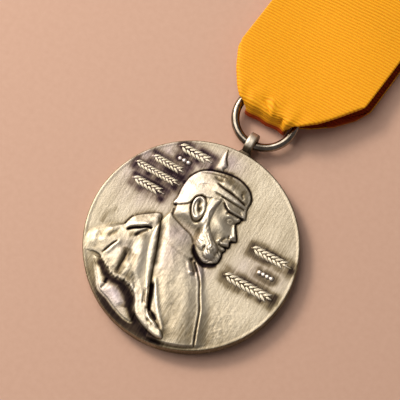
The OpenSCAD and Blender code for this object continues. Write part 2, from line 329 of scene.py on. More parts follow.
def face(x, y, level):
    """The features, as hills and strokes on the swell of the head: brow, eye between its
    lids, nose with its wing, cheekbone, moustache, mouth and chin."""
    fx = x - FACE_X
    level = level + 0.20 * stroke(fx, y, [(-2.6, BROW_Y - 0.2), (-1.3, BROW_Y + 0.15),
                                          (0, BROW_Y)], 0.36, 0.2)
    level -= 0.36 * bump(fx, y, -1.25, EYE_Y + 0.05, 1.05, 0.62)
    level += 0.22 * bump(fx, y, -1.2, EYE_Y, 0.52, 0.34)
    level += 0.15 * stroke(fx, y, [(-2.0, EYE_Y - 0.05), (-1.35, EYE_Y + 0.38),
                                   (-0.65, EYE_Y + 0.12)], 0.13, 0.2)
    level += 0.10 * stroke(fx, y, [(-1.9, EYE_Y - 0.15), (-1.3, EYE_Y - 0.36),
                                   (-0.7, EYE_Y - 0.1)], 0.12, 0.2)
    level += 0.26 * stroke(fx, y, [(-0.35, EYE_Y + 0.2), (0.1, EYE_Y - 0.9),
                                   (0.85, NOSE_Y + 0.8)], 0.42, 0.1)
    level += 0.26 * bump(fx, y, 0.3, NOSE_Y + 0.55, 0.36, 0.34)
    level -= 0.24 * stroke(fx, y, [(-0.15, NOSE_Y + 0.95), (-0.2, NOSE_Y + 0.5),
                                   (0.1, NOSE_Y + 0.15)], 0.16, 0.2)
    level -= 0.22 * bump(fx, y, 0.62, NOSE_Y + 0.22, 0.24, 0.12)
    level += 0.20 * bump(fx, y, -2.6, EYE_Y - 1.55, 1.5, 0.75, -20)
    level -= 0.16 * stroke(fx, y, [(-0.4, NOSE_Y + 0.4), (-0.9, NOSE_Y - 0.4),
                                   (-1.2, MOUTH_Y - 0.2)], 0.26, 0.2)
    level -= 0.20 * bump(fx, y, -2.4, MOUTH_Y + 1.0, 0.9, 0.7, -40)
    level += 0.32 * stroke(fx, y, [(0.55, NOSE_Y - 0.55), (-0.2, MOUTH_Y + 0.45),
                                   (-0.9, MOUTH_Y + 0.25), (-1.7, MOUTH_Y + 0.75)], 0.36, 0.1)
    level -= 0.30 * stroke(fx, y, [(0.3, MOUTH_Y - 0.05), (-0.5, MOUTH_Y - 0.12),
                                   (-1.3, MOUTH_Y - 0.05)], 0.16, 0.15)
    level += 0.16 * bump(fx, y, 0.1, MOUTH_Y - 0.5, 0.42, 0.22)
    level -= 0.14 * bump(fx, y, 0.0, MOUTH_Y - 1.05, 0.5, 0.24)
    return level + 0.12 * bump(fx, y, 0.05, CHIN_Y + 0.55, 0.5, 0.6)


def hair(x, y, level):
    """Side whiskers and beard: a raised lock from temple to chin, combed with fine furrows
    that follow it, and ending in two curls."""
    d = depth_in(x, y, WHISKERS)
    comb = np.sin(TAU * (x * 0.9 + 0.35 * np.sin(y * 1.1) + 0.25 * mottle(x, y, 1.3, 9)) / 0.8)
    lower = ease((4.6 - y) / 2.5)
    curls = np.cos(TAU * (np.hypot(x - 3.9, y - 0.9) / 0.62))
    texture = 0.035 * comb * (1 - lower)
    texture += 0.045 * lower * np.sin(TAU * (x + y * 1.1 + 0.5 * mottle(x, y, 0.9, 10)) / 0.95)
    texture += 0.05 * curls * bump(x, y, 3.8, 0.6, 1.3, 1.2)
    lock = level + 0.08 + 0.32 * swell(d, 1.3) + texture
    lock += 0.16 * bump(x, y, 3.9, 1.3, 0.7, 0.5) + 0.20 * bump(x, y, 3.5, -0.4, 0.75, 0.6)
    lock -= 0.30 * stroke(x, y, [(2.5, 1.0), (2.35, 0.3), (2.6, -0.4)], 0.18, 0.2)
    lock -= 0.18 * stroke(x, y, [(2.9, 0.45), (3.7, 0.3), (4.6, 0.4)], 0.16, 0.2)
    front = level + 0.06 * np.sin(TAU * (y + 0.5 * np.sin(2.2 * x)) / 0.62)
    beard = ease((MOUTH_Y - 0.9 - y) / 0.5) * ease((x - 3.6) / 0.6)
    level = level + (front - level) * beard
    return lay_over(level, lock, d, 0.3)


def ear(x, y, level):
    """The ear: an oval with a rolled rim, a hollow and a lobe, set off by a furrow."""
    turn = math.radians(16)
    u = (x + 2.15) * math.cos(turn) + (y - 6.45) * math.sin(turn)
    v = (y - 6.45) * math.cos(turn) - (x + 2.15) * math.sin(turn)
    wide = 1.28 + 0.16 * np.clip(v, -2, 2) / 2
    r = np.hypot(u / wide, v / 2.3)
    level = level - 0.34 * np.exp(-(((r - 1.12) / 0.12) ** 2)) * ease((1.5 - u) / 0.8)
    level += (0.30 + 0.02 * v) * ease((1.06 - r) / 0.12)
    level += 0.20 * np.exp(-(((r - 0.84) / 0.14) ** 2)) * ease((1.1 - u + 0.25 * v) / 0.7)
    level -= 0.42 * bump(u, v, -0.02, 0.85, 0.36, 0.75) + 0.50 * bump(u, v, 0.30, -0.25, 0.42, 0.55)
    level += 0.16 * stroke(u, v, [(-0.25, 1.3), (-0.35, 0.2), (-0.1, -0.8), (0.4, -1.1)], 0.18)
    return level + 0.18 * bump(u, v, 0.15, -1.65, 0.5, 0.45)


def skull(x, y):
    """The plain swell of the head above the field."""
    return 0.10 + 0.80 * swell(depth_in(x, y, HEAD), 4.2)


def head(x, y, h):
    """The head: a swell over the whole profile, with neck, ear, face and beard worked on it."""
    d = depth_in(x, y, HEAD)
    level = skull(x, y)
    level -= 0.10 * bump(x, y, -3.8, 3.6, 2.2, 1.0, -15)
    level -= 0.22 * bump(x, y, 1.9, 8.4, 0.9, 1.2)
    level = face(x, y, level)
    level = hair(x, y, level)
    level = ear(x, y, level)
    # The neck sinks into the collar
    neck = ease((4.6 - y) / 2.2) * ease((0.9 - x) / 1.2)
    level = level + (h + 0.05 - level) * neck
    return lay_over(h, level, d, 0.22)


def helmet(x, y, h):
    """The peaked helmet: a high dome with a cover seam, a raised band, a front peak with a
    rolled edge, a rear guard and a spike on top."""
    spike = depth_in(x, y, SPIKE)
    show = ease((x + 3.8) / 1.7)
    h = lay_over(h, h + (0.06 + 0.20 * swell(spike, 0.9)) * show, spike, 0.20)
    d = depth_in(x, y, HELMET)
    level = np.maximum(0.12 + 0.95 * swell(d, 5.2), skull(x, y) + 0.14)
    crest = [(-5.2, 13.2), (-3.6, 13.9), (-1.8, 14.35), (0.2, 14.65)]
    level -= 0.10 * stroke(x, y, [(p, q - 0.28) for p, q in crest], 0.16)
    band_top = [(-1.6, 12.45), (0.2, 12.05), (2.2, 11.9), (4.0, 11.5), (5.6, 11.1)]
    band_low = [(-1.2, 10.6), (1.0, 10.55), (3.2, 10.5), (4.9, 10.5), (5.9, 10.15)]
    band = ease((y - 10.5) / 0.3) * ease((12.35 - 0.2 * (x + 1) - y) / 0.3) * ease((x + 2.4) / 1.6)
    level += 0.14 * band
    level -= 0.16 * stroke(x, y, band_top, 0.22, 0.12)
    level -= 0.16 * stroke(x, y, band_low, 0.15, 0.12)
    level += 0.12 * stroke(x, y, [(-1.0, 13.2), (0.4, 13.0), (2.0, 13.1)], 0.5, 0.3)
    level -= 0.14 * stroke(x, y, [(3.5, 12.9), (3.8, 12.4), (4.3, 12.0)], 0.2, 0.2)
    level -= 0.16 * stroke(x, y, [(-2.6, 13.4), (-1.4, 13.2), (-0.4, 13.6)], 0.3, 0.3)
    peak = [(1.05, 9.95), (2.2, 9.25), (3.2, 8.95), (4.8, 8.98), (6.2, 9.02)]
    level += 0.26 * stroke(x, y, peak, 0.20, 0.06)
    level -= 0.10 * stroke(x, y, [(2.2, 10.0), (3.8, 9.7), (5.6, 9.7)], 0.35, 0.2)
    return lay_over(h, level, d, 0.22)


def cast_hollow(x, y, h):
    """Undercuts that set the layers apart: soft furrows beside the high edges."""
    h = h - 0.24 * stroke(x, y, [(2.6, 8.35), (4.0, 8.3), (5.4, 8.35)], 0.26, 0.15)
    h = h - 0.22 * stroke(x, y, [(0.4, -0.3), (1.6, -1.4), (3.0, -2.3), (4.8, -2.3)], 0.40, 0.2)
    return h - 0.18 * stroke(x, y, [(-6.3, 1.2), (-5.6, -0.8), (-4.8, -2.9), (-4.0, -5.1),
                                    (-3.3, -7.2)], 0.5, 0.15)


def relief(x, y):
    """Height of the face above the border: field, coat, sleeve, head, helmet and cape, each
    laid over the last, with the fine unevenness of a struck surface."""
    r = np.hypot(x, y)
    ground = field(r)
    h = coat(x, y, ground)
    h = head(x, y, h)
    h = helmet(x, y, h)
    h = cast_hollow(x, y, h)
    h = cape(x, y, h, sleeve(x, y, h))
    h = lapel(x, y, h)
    # Cast and hand-chased unevenness, stronger where the metal is raised
    raised = ease((h - ground) / 0.3)
    rough = 0.022 * mottle(x, y, 1.0, 1) + 0.015 * mottle(x, y, 0.5, 2)
    h = h + raised * rough * ease((np.hypot(x - 2.5, y - 5.5) - 3.5) / 2)
    patch = bump(x, y, 12.0, -10.6, 2.6, 4.2, 15)
    h = h + berries(x, y)
    h = h + patch * (0.030 * mottle(x, y, 0.62, 3) + 0.020 * mottle(x, y, 0.36, 4))
    # Everything melts into the field just inside the border
    keep = ease((BORDER_R - r) / 0.8)
    return ground + (h - ground) * keep


# Patina left in the undercuts, and painted shade under the hem, the peak and the beard, beside the
# high edges and on the slopes turned from the light: points of a line, its half-width and how deep
# its tone is
PATINA_AND_PAINTED_SHADE = [
    ([(-14.2, -10.3), (-12.6, -11.4), (-11.0, -12.5), (-9.4, -12.95), (-7.6, -12.9),
      (-6.0, -13.4), (-4.7, -14.5), (-3.9, -16.0), (-2.4, -17.4), (-0.3, -18.35), (2.4, -18.9),
      (5.0, -19.0)], 0.66, 1.0),
    ([(-7.8, -13.1), (-6.2, -13.8), (-5.0, -14.9), (-4.3, -16.4)], 0.8, 0.8),
    ([(-10.5, -12.3), (-10.2, -14.2)], 0.42, 0.8),
    ([(-11.9, -3.6), (-10.9, -2.7), (-10.2, -2.1), (-9.3, -1.75), (-8.7, -1.2), (-7.5, -0.85)],
     0.20, 1.0),
    ([(-9.9, -3.9), (-8.9, -2.3), (-7.9, -1.2)], 0.26, 0.3),
    ([(-11.6, -0.5), (-10.2, 0.9), (-8.6, 1.8)], 0.9, 0.30),
    ([(-7.9, 1.9), (-7.2, 0.7), (-6.6, -0.5), (-5.7, -2.9), (-4.9, -5.2), (-4.2, -7.4)],
     0.32, 0.55),
    ([(-4.2, -7.4), (-3.2, -9.6), (-2.4, -12.0), (-1.5, -14.2)], 0.28, 0.4),
    ([(-2.6, -9.8), (-2.0, -11.6), (-1.6, -13.2), (-0.9, -14.8)], 0.38, 1.0),
    ([(-0.8, -14.3), (0.5, -14.9), (1.5, -15.6)], 0.24, 0.9),
    ([(-0.3, -16.2), (1.4, -16.8)], 0.3, 0.5),
    ([(-13.6, -9.6), (-12.7, -7.4), (-12.0, -5.9)], 0.17, 0.45),
    ([(-9.9, -6.2), (-9.4, -8.4), (-9.3, -10.0), (-9.0, -11.8)], 0.9, 0.50),
    ([(-7.9, -6.4), (-7.2, -8.6), (-6.9, -10.8), (-6.4, -12.4)], 0.8, 0.34),
    ([(-11.0, -4.2), (-9.4, -3.2), (-7.6, -2.9)], 0.7, 0.36),
    ([(-15.4, -6.9), (-14.2, -5.6), (-12.8, -4.6)], 0.7, 0.28),
    ([(-16.6, -4.6), (-16.2, -2.2), (-15.2, -0.4)], 0.6, 0.25),
    ([(-12.7, -2.6), (-12.4, -1.4), (-12.0, -0.3)], 0.2, 0.5),
    (OPENING, 0.22, 0.34),
    ([(0.2, 0.4), (1.0, -0.9), (2.3, -1.9), (3.6, -2.3), (5.0, -1.9), (6.0, -0.9)], 0.42, 1.0),
    ([(1.2, -2.0), (2.4, -2.9), (3.4, -4.2)], 0.5, 0.5),
    ([(-6.9, 10.4), (-6.5, 11.7), (-5.5, 13.15), (-4.2, 14.05), (-2.6, 14.6), (-0.8, 15.1),
      (1.3, 15.25), (3.0, 14.9), (4.4, 14.2), (5.35, 13.2), (5.75, 12.2), (5.8, 11.2)], 0.17, 0.8),
    ([(-3.0, 14.4), (-1.2, 14.7), (0.6, 14.75)], 0.3, 0.4),
    ([(-3.4, 13.3), (0.6, 13.9), (4.4, 13.0)], 1.0, 0.28),
    ([(-5.6, 9.6), (-4.9, 11.4), (-3.4, 12.6)], 0.6, 0.25),
    ([(3.2, 13.4), (4.7, 12.2), (5.3, 11.2)], 0.5, 0.34),
    ([(-1.6, 12.4), (0.2, 12.05), (2.2, 11.85), (4.0, 11.5), (5.3, 11.1)], 0.24, 0.6),
    ([(0.2, 10.5), (2.4, 10.35), (5.4, 10.3)], 0.17, 0.8),
    ([(1.3, 9.9), (2.1, 9.1), (3.1, 8.62), (4.8, 8.62), (6.3, 8.7)], 0.2, 1.0),
    ([(-6.7, 5.0), (-5.5, 5.55), (-4.3, 6.3), (-3.9, 7.0)], 0.15, 0.7),
    ([(-3.05, 19.3), (-2.75, 18.3), (-2.3, 17.3), (-1.55, 16.3)], 0.14, 0.6),
    ([(-2.0, 15.2), (-0.9, 15.3), (0.4, 15.6)], 0.3, 0.3),
    ([(-6.3, 4.6), (-6.0, 3.8), (-5.7, 3.2)], 0.2, 0.5)]
# Painted highlights on parts turned to the light, partly where the metal was rubbed right through,
# in the same form
PAINTED_HIGHLIGHTS_AND_WEAR = [
    ([(-13.2, -11.6), (-12.0, -13.2), (-10.8, -14.9)], 0.5, 0.5),
    ([(-9.0, -14.4), (-7.4, -15.4), (-5.6, -16.6)], 0.9, 0.7),
    ([(-2.4, -9.2), (-1.0, -11.6), (0.8, -13.8), (2.4, -15.4)], 0.35, 0.6),
    ([(-12.2, -2.2), (-10.6, -1.3), (-8.6, -0.5)], 0.3, 0.4),
    ([(-12.6, -9.8), (-11.6, -8.0), (-10.9, -6.4)], 0.7, 0.4),
    ([(-7.6, -2.4), (-6.8, -6.0), (-5.6, -10.0), (-4.2, -13.0)], 1.1, 0.4),
    ([(5.8, -5.6), (7.2, -8.0), (8.8, -10.6)], 0.7, 0.35),
    ([(-5.9, 7.4), (-5.2, 10.4), (-3.2, 12.4)], 1.3, 0.35),
    ([(0.0, 11.3), (2.4, 11.1), (5.0, 10.7)], 0.3, 0.45)]


def patina_and_painted_light_at(x, y):
    """How deep the patina and the painted shade are at each point: 1 where they are in full, below
    0 where the metal was rubbed bright or a highlight is painted. Each line darkens what the others
    leave by its own share."""
    clear = np.ones(x.shape)
    for points, w, share in PATINA_AND_PAINTED_SHADE:
        clear *= 1 - share * stroke(x, y, points, w * (1 + 0.25 * mottle(x, y, 0.8, 5)), 0.08)
    # Painted highlights, partly rubbed metal, lift the patina
    shine = np.zeros(x.shape)
    for points, w, share in PAINTED_HIGHLIGHTS_AND_WEAR:
        shine = np.maximum(shine, share * stroke(x, y, points, w, 0.2))
    # The strip of field between the sleeve and the edge is darker
    r, turn = np.hypot(x, y), np.degrees(np.arctan2(y, x)) % 360
    outside = ease(-np.maximum(depth_in(x, y, SLEEVE), depth_in(x, y, CAPE)) / 0.4)
    strip = outside * ease((turn - 206) / 42) * ease((290 - turn) / 24) * ease((r - 16) / 1.5)
    # Painted shade along the right edge of the face and beard, the side turned from the light
    beyond = depth_in(x, y, HEAD)
    profile = np.exp(-((beyond / 0.22) ** 2)) * ease((x - 4.2) / 1) * ease((9 - y) / 1)
    # Painted shade: the lower field is darker, where the light falls off
    low = 0.24 * ease((-6 - y) / 9) * ease((x + 2) / 5)
    return 1 - clear * (1 - 0.85 * strip) * (1 - 0.55 * profile) * (1 - low) - 0.5 * shine


def tarnish_and_painted_reflection_at(x, y):
    """A thin lavender tint in the sheltered places of the face: partly tarnish, partly a painted
    lavender reflection.
    """
    total = np.zeros(x.shape)
    for cx, cy, rx, ry, a in [(-12, 9.5, 7, 6.5, 1.0), (-3.2, 0.4, 3, 2.4, 0.8),
                              (-7, -15, 3.5, 2.2, 0.9), (-2.5, -3.5, 2.5, 3.5, 0.5),
                              (3.6, -3.2, 2.2, 2.0, 0.7), (-1.5, 17, 3, 2.2, 0.8),
                              (13, 1.5, 5.5, 4, 0.45), (-10, -7, 2.5, 2.5, 0.3)]:
        total = np.maximum(total, a * bump(x, y, cx, cy, rx, ry))
    return total * (0.75 + 0.25 * mottle(x, y, 1.6, 6))


# ---------------------------------------------------------------- meshes


def grid_faces(rows, cols, close_rows=False, close_cols=False, start=0):
    """Four-sided faces of a grid numbered row by row, joined end to end where it closes."""
    i = np.arange(rows if close_rows else rows - 1)[:, None]
    j = np.arange(cols if close_cols else cols - 1)[None, :]
    a = i * cols + j
    b = i * cols + (j + 1) % cols
    c = ((i + 1) % rows) * cols + (j + 1) % cols
    d = ((i + 1) % rows) * cols + j
    return np.stack([a, b, c, d], -1).reshape(-1, 4) + start


def make_mesh(name, points_mm, faces, sharp_deg=None):
    """A mesh object from an array of points in millimetres and a list of face arrays."""
    mesh = bpy.data.meshes.new(name)
    sizes = np.concatenate([np.full(len(f), f.shape[1]) for f in faces])
    loops = np.concatenate([f.ravel() for f in faces]).astype(np.int32)
    mesh.vertices.add(len(points_mm))
    mesh.vertices.foreach_set("co", (np.asarray(points_mm) * MM).astype(np.float32).ravel())
    mesh.loops.add(len(loops))
    mesh.loops.foreach_set("vertex_index", loops)
    mesh.polygons.add(len(sizes))
    mesh.polygons.foreach_set("loop_start", np.concatenate([[0], np.cumsum(sizes)[:-1]]))
    mesh.polygons.foreach_set("loop_total", sizes)
    mesh.polygons.foreach_set("use_smooth", np.ones(len(sizes), bool))
    mesh.update(calc_edges=True)
    mesh.validate()
    if sharp_deg:
        mesh.set_sharp_from_angle(angle=math.radians(sharp_deg))
    piece = bpy.data.objects.new(name, mesh)
    bpy.context.scene.collection.objects.link(piece)
    return piece


def point_value(piece, name, values):
    """Stores one number per point, for a material to read."""
    attribute = piece.data.attributes.new(name, "FLOAT", "POINT")
    attribute.data.foreach_set("value", np.asarray(values, np.float32).ravel())


def blur(h, cells):
    """A Gaussian blur of a grid, one axis after the other, with the edge values repeated."""
    half = int(3 * cells)
    k = np.exp(-0.5 * (np.arange(-half, half + 1) / cells) ** 2)
    k /= k.sum()
    for axis in (0, 1):
        padded = np.pad(h, [(half, half) if a == axis else (0, 0) for a in (0, 1)], "edge")
        h = sum(w * np.take(padded, np.arange(i, i + h.shape[axis]), axis=axis)
                for i, w in enumerate(k))
    return h


def round_grid(n, radius):
    """A square grid pulled into a disc: x = u sqrt(1 - v^2/2), y = v sqrt(1 - u^2/2)."""
    u, v = np.meshgrid(np.linspace(-1, 1, n), np.linspace(-1, 1, n))
    return radius * u * np.sqrt(1 - v * v / 2), radius * v * np.sqrt(1 - u * u / 2)


def grid_rim(rows, cols):
    """The numbers of a grid's outer points, once round."""
    k = np.arange(rows * cols).reshape(rows, cols)
    return np.concatenate([k[0, :-1], k[:-1, -1], k[-1, :0:-1], k[:0:-1, 0]])


def struck_half(name, n, height, up):
    """One half of the disc as a closed solid: a sculpted round grid, whose outer points run on
    over the bevel and down the rim to a flat seam half way through the thickness."""
    x, y = round_grid(n, DISC_R - BEVEL)
    h = height(x, y)
    z = (RIM_T + h) if up else -h
    rim = grid_rim(n, n)
    angle = np.arctan2(y.ravel()[rim], x.ravel()[rim])
    edge_z = RIM_T if up else 0
    side = 1 if up else -1
    turn = np.radians([30, 60, 90])
    radii = [DISC_R - BEVEL + BEVEL * math.sin(a) for a in turn] + [DISC_R]
    heights = [edge_z - side * BEVEL * (1 - math.cos(a)) for a in turn] + [SEAM_Z]
    bands = [np.stack([r * np.cos(angle), r * np.sin(angle), np.full(len(angle), zz)], 1)
             for r, zz in zip(radii, heights)]
    top = np.stack([x.ravel(), y.ravel(), z.ravel()], 1)
    points = np.vstack([top] + bands + [[[0, 0, SEAM_Z]]])
    m, base = len(rim), n * n
    rings = [rim] + [base + k * m + np.arange(m) for k in range(len(bands))]
    faces = [grid_faces(n, n)]
    for outer, inner in zip(rings[1:], rings[:-1]):
        faces.append(np.stack([inner, outer, np.roll(outer, -1), np.roll(inner, -1)], 1))
    last = rings[-1]
    cap = np.stack([np.roll(last, -1), last, np.full(m, len(points) - 1)], 1)
    faces.append(cap)
    if not up:
        faces = [f[:, ::-1] for f in faces]
    piece = make_mesh(name, points, faces)
    fine, broad = h - blur(h, 2.2), h - blur(h, 8)
    pad = np.full(len(points) - n * n, 0.0)
    point_value(piece, "fine_height", np.concatenate([fine.ravel(), pad]))
    point_value(piece, "broad_height", np.concatenate([broad.ravel(), pad]))
    return piece, x, y


def tube_along(name, path, tangent_frame, radius, sides, closed):
    """A round tube: at each place on the path, a circle in the plane of two given vectors."""
    e1, e2 = tangent_frame
    a = np.linspace(0, TAU, sides, endpoint=False)
    ring = np.cos(a)[None, :, None] * e1[:, None, :] + np.sin(a)[None, :, None] * e2[:, None, :]
    radius = np.broadcast_to(radius, (len(path),))[:, None, None]
    points = (path[:, None, :] + radius * ring).reshape(-1, 3)
    faces = [grid_faces(len(path), sides, close_rows=closed, close_cols=True)[:, ::-1]]
    if not closed:
        first = np.arange(sides)[None, :]
        last = ((len(path) - 1) * sides + np.arange(sides))[None, ::-1]
        faces += [first, last]
    return make_mesh(name, points, faces)


def suspension_ring():
    """The ring: a round wire bent to a circle, with its two cut ends meeting in a butt joint."""
    half_gap, butt_turn = 0.075, 20
    gap = half_gap / RING_R
    start = math.radians(90 + butt_turn)
    a = np.linspace(start + gap, start + TAU - gap, 181)
    out = np.stack([np.cos(a), np.sin(a), 0 * a], 1)
    path = RING + RING_R * out
    path[:, 2] = RING[2]
    up = np.tile([0.0, 0.0, 1.0], (len(a), 1))
    chamfer = np.ones(len(a))
    chamfer[[0, -1]] = 0.86
    return tube_along("suspension_ring_wire", path, (out, up), WIRE_R * chamfer, 28, False)


def rounded_strip(half_w, half_t, n):
    """Outline of a strip's cross-section: the superellipse |u/w|^4 + |v/t|^4 = 1."""
    a = np.linspace(0, TAU, n, endpoint=False)
    c, s = np.cos(a), np.sin(a)
    k = (c**4 + s**4) ** -0.25
    return half_w * c * k, half_t * s * k


def suspension_eye():
    """The eye: a flat strip rolled into a loop round the ring's wire, on a foot that spreads
    towards the rim: each cross-section of the foot is a superellipse, wider at the bottom."""
    low, high = corner("suspension_eye", 0), corner("suspension_eye", 1)
    outer = (high[2] - low[2]) / 2
    bore = 1.3
    half_w = 0.85
    middle, half_t = (outer + bore) / 2, (outer - bore) / 2
    w, t = rounded_strip(half_w, half_t, 28)
    a = np.linspace(0, TAU, 72, endpoint=False)[:, None]
    r = np.broadcast_to(middle + t, (72, 28))
    loop = np.stack([np.broadcast_to(w, r.shape), EYE[1] + r * np.cos(a),
                     EYE[2] + r * np.sin(a)], -1)
    faces = [grid_faces(72, 28, close_rows=True, close_cols=True)]
    # Foot
    rows = 12
    s = np.linspace(0, 1, rows)
    foot_y = low[1] + s * (EYE[1] - bore - 0.15 - low[1])
    spread = half_w + (high[0] - half_w) * (1 - s) ** 1.4
    tall = 1.15 - 0.30 * s
    q = np.linspace(0, TAU, 32, endpoint=False)
    k = (np.cos(q) ** 4 + np.sin(q) ** 4) ** -0.25
    foot = np.stack([spread[:, None] * (np.cos(q) * k)[None, :],
                     np.broadcast_to(foot_y[:, None], (rows, 32)),
                     1.75 + 0.4 * s[:, None] + tall[:, None] * (np.sin(q) * k)[None, :]], -1)
    start = loop.shape[0] * loop.shape[1]
    faces.append(grid_faces(rows, 32, close_cols=True, start=start)[:, ::-1])
    faces.append(start + np.arange(32)[None, :])
    faces.append(start + (rows - 1) * 32 + np.arange(32)[None, ::-1])
    points = np.vstack([loop.reshape(-1, 3), foot.reshape(-1, 3)])
    return make_mesh("suspension_eye_loop", points, faces, 50)


# ---------------------------------------------------------------- laurel in place of wording


def leaf_shape(rows=9, cols=7):
    """One laurel leaf, 1 long, as a small grid: its half-width is a sine that leans towards
    the stalk, its back is domed with a sunk midrib, and its edge drops below the ground."""
    u, v = np.meshgrid(np.linspace(0, 1, rows), np.linspace(-1, 1, cols), indexing="ij")
    half = 0.19 * np.sin(np.pi * u**0.85)
    dome = (1 - v**4) * np.sin(np.pi * np.clip(u, 0.03, 0.97)) ** 0.4
    rib = 0.45 * np.exp(-((v / 0.28) ** 2)) * np.sin(np.pi * u)
    return u, half * v, dome - rib


def leaves(name, places, ground, rise, skirt=0.15):
    """Many leaves in one mesh. Each place is (x, y, turn in degrees, length) and a leaf's
    top stands `rise` above the ground under it, with its edge sunk by `skirt`."""
    u, v, dome = leaf_shape()
    p = np.array(places)[:, :, None, None]
    a = np.radians(p[:, 2])
    x = p[:, 0] + p[:, 3] * (u * np.cos(a) - v * np.sin(a))
    y = p[:, 1] + p[:, 3] * (u * np.sin(a) + v * np.cos(a))
    z = ground(x, y) + (rise + skirt) * dome - skirt
    count, rows, cols = x.shape
    points = np.stack([x, y, z], -1).reshape(-1, 3)
    one = grid_faces(rows, cols)[:, ::-1]
    faces = (one[None] + (np.arange(count) * rows * cols)[:, None, None]).reshape(-1, 4)
    return make_mesh(name, points, [faces])


# Rows of laurel: left end, right end, height of the middle line, and height of the row
GARLANDS = [
    (-11.2, -4.3, 15.5, 1.9), (-14.5, -8.0, 11.3, 1.6), (-16.8, -7.3, 8.8, 1.5),
    (-15.7, -9.0, 5.9, 1.8), (10.0, 18.4, 5.0, 1.9), (8.0, 18.1, -1.9, 2.0)]
# Short rows of round berries between them, in the same form
BERRIES = [(-10.4, -7.7, 13.35, 0.9), (13.0, 16.4, 1.6, 0.9)]


def berries(x, y):
    """Height of the rows of berries: small half balls, and the stalk lines of the laurel."""
    total = np.zeros(x.shape)
    for x0, x1, mid, tall in BERRIES:
        for cx in np.linspace(x0 + tall / 2, x1 - tall / 2, round((x1 - x0) / (1.05 * tall))):
            d = np.hypot(x - cx, y - mid) / (tall / 2)
            total = np.maximum(total, 0.26 * np.sqrt(np.clip(1 - d * d, 0, 1)))
    for x0, x1, mid, tall in GARLANDS:
        total = np.maximum(total, 0.12 * stroke(x, y, [(x0 - 0.2, mid), (x1, mid)], 0.14, 0.02))
    return total


def garland_leaves():
    """Leaves on either side of each row's stalk, a half step apart, leaning out from it, with
    one at its tip."""
    places = []
    for x0, x1, y, tall in GARLANDS:
        size = 0.95 * tall
        lean = 30
        step = 0.50 * tall
        count = int((x1 - x0 - size) / step)
        for i in range(count + 1):
            x = x0 + i * step
            places.append((x, y + 0.03 * tall, lean, size))
            if i < count:
                places.append((x + step / 2, y - 0.03 * tall, -lean, size))
        places.append((x0 + count * step + 0.3 * size, y, 0, size * 0.8))
    return places


def wreath_leaves():
    """Two laurel branches that rise from the foot of the back to meet near its top, with
    leaves in threes along each."""
    places = []
    for side in (-1, 1):
        for step in range(17):
            a = math.radians(-90 + side * (12 + step * 9.0))
            x, y = 12.4 * math.cos(a), 12.4 * math.sin(a)
            along = math.degrees(a) + side * 90
            for lean, size in ((0, 2.5), (38, 2.4), (-38, 2.4)):
                places.append((x, y, along + lean, size))
    return places


def back_height(x, y):
    """Height of the back above the table side, measured into the metal: a border, a field
    sunk by 0.3 mm, a thin raised ring, a plain raised boss, and a bow under the wreath."""
    r = np.hypot(x, y)
    h = -0.30 * ease((BORDER_R - r) / 0.3)
    h += 0.16 * np.exp(-(((r - 17.6) / 0.22) ** 2))
    h += 0.10 * ease((7.6 - r) / 0.5) + 0.08 * np.exp(-(((r - 7.4) / 0.25) ** 2))
    bow = bump(x, y, -1.5, -12.5, 1.5, 0.75, 18) + bump(x, y, 1.5, -12.5, 1.5, 0.75, -18)
    tails = stroke(x, y, [(0, -12.6), (-1.6, -14.2), (-3.4, -15.0)], 0.42)
    tails += stroke(x, y, [(0, -12.6), (1.6, -14.2), (3.4, -15.0)], 0.42)
    return h + 0.20 * np.clip(bow + tails, 0, 1)


# ---------------------------------------------------------------- the ribbon

CLOTH_W = 26.0
CLOTH_T = 0.36
RIB = 0.58
LEAN = math.radians(6.3)
SHOULDER = np.array([1.9, RING[1] + 9.6])
FOLD_Y = RING[1] - 0.35
CREST_Y = RING[1] + 0.3
STACK_Z = corner("ribbon_stiffener", 0)[2], corner("ribbon_stiffener", 1)[2]
STITCH_Z = STACK_Z[1] + 0.4
# Places of the sewing, up the strip from the shoulder
STITCH_V, BROOCH_V = 41.0, 36.0
# The top is cut square to the strip, so its left corner stands this much over its middle
TOP_RISE = CLOTH_W / 2 * math.tan(LEAN) / math.cos(LEAN)
TOP_Y = corner("ribbon", 1)[1] - TOP_RISE


def side_profile():
    """The strip seen from the side, from the top of its front layer down through the ring and
    back up: one smooth curve through a few places (y, z)."""
    # Half the cloth's thickness and a little air
    half_t = 0.2
    front_z, back_z = STACK_Z[1] + half_t, STACK_Z[0] - half_t
    lift, level = SHOULDER[1] + 14, SHOULDER[1] + 24
    end_y = TOP_Y + TOP_RISE
    places = [
        (end_y, front_z), (TOP_Y - 9, front_z), (level + 1, front_z), (level - 4, front_z - 0.45),
        (lift, 3.35), (SHOULDER[1] + 6, 3.6), (SHOULDER[1], 4.15), (CREST_Y + 5, 4.75),
        (CREST_Y + 2.2, 5.15), (CREST_Y + 0.7, 5.15), (FOLD_Y + 0.65, 4.6), (FOLD_Y + 0.35, 3.6),
        (FOLD_Y - 0.15, 2.4), (FOLD_Y - 0.35, 1.4), (FOLD_Y + 0.2, 0.62), (CREST_Y + 1.2, 0.36),
        (CREST_Y + 2.6, 0.30), (CREST_Y + 5, 0.28),
        (SHOULDER[1], 0.28), (lift - 5, 0.29), (lift - 1.5, 0.30), (lift, 0.40),
        (level - 4, back_z - 0.9), (level + 1, back_z),
        (TOP_Y - 9, back_z), (end_y, back_z)]
    line = smooth_line(places, per=40)
    run = np.concatenate([[0], np.cumsum(np.hypot(*np.diff(line, axis=0).T))])
    return line, run


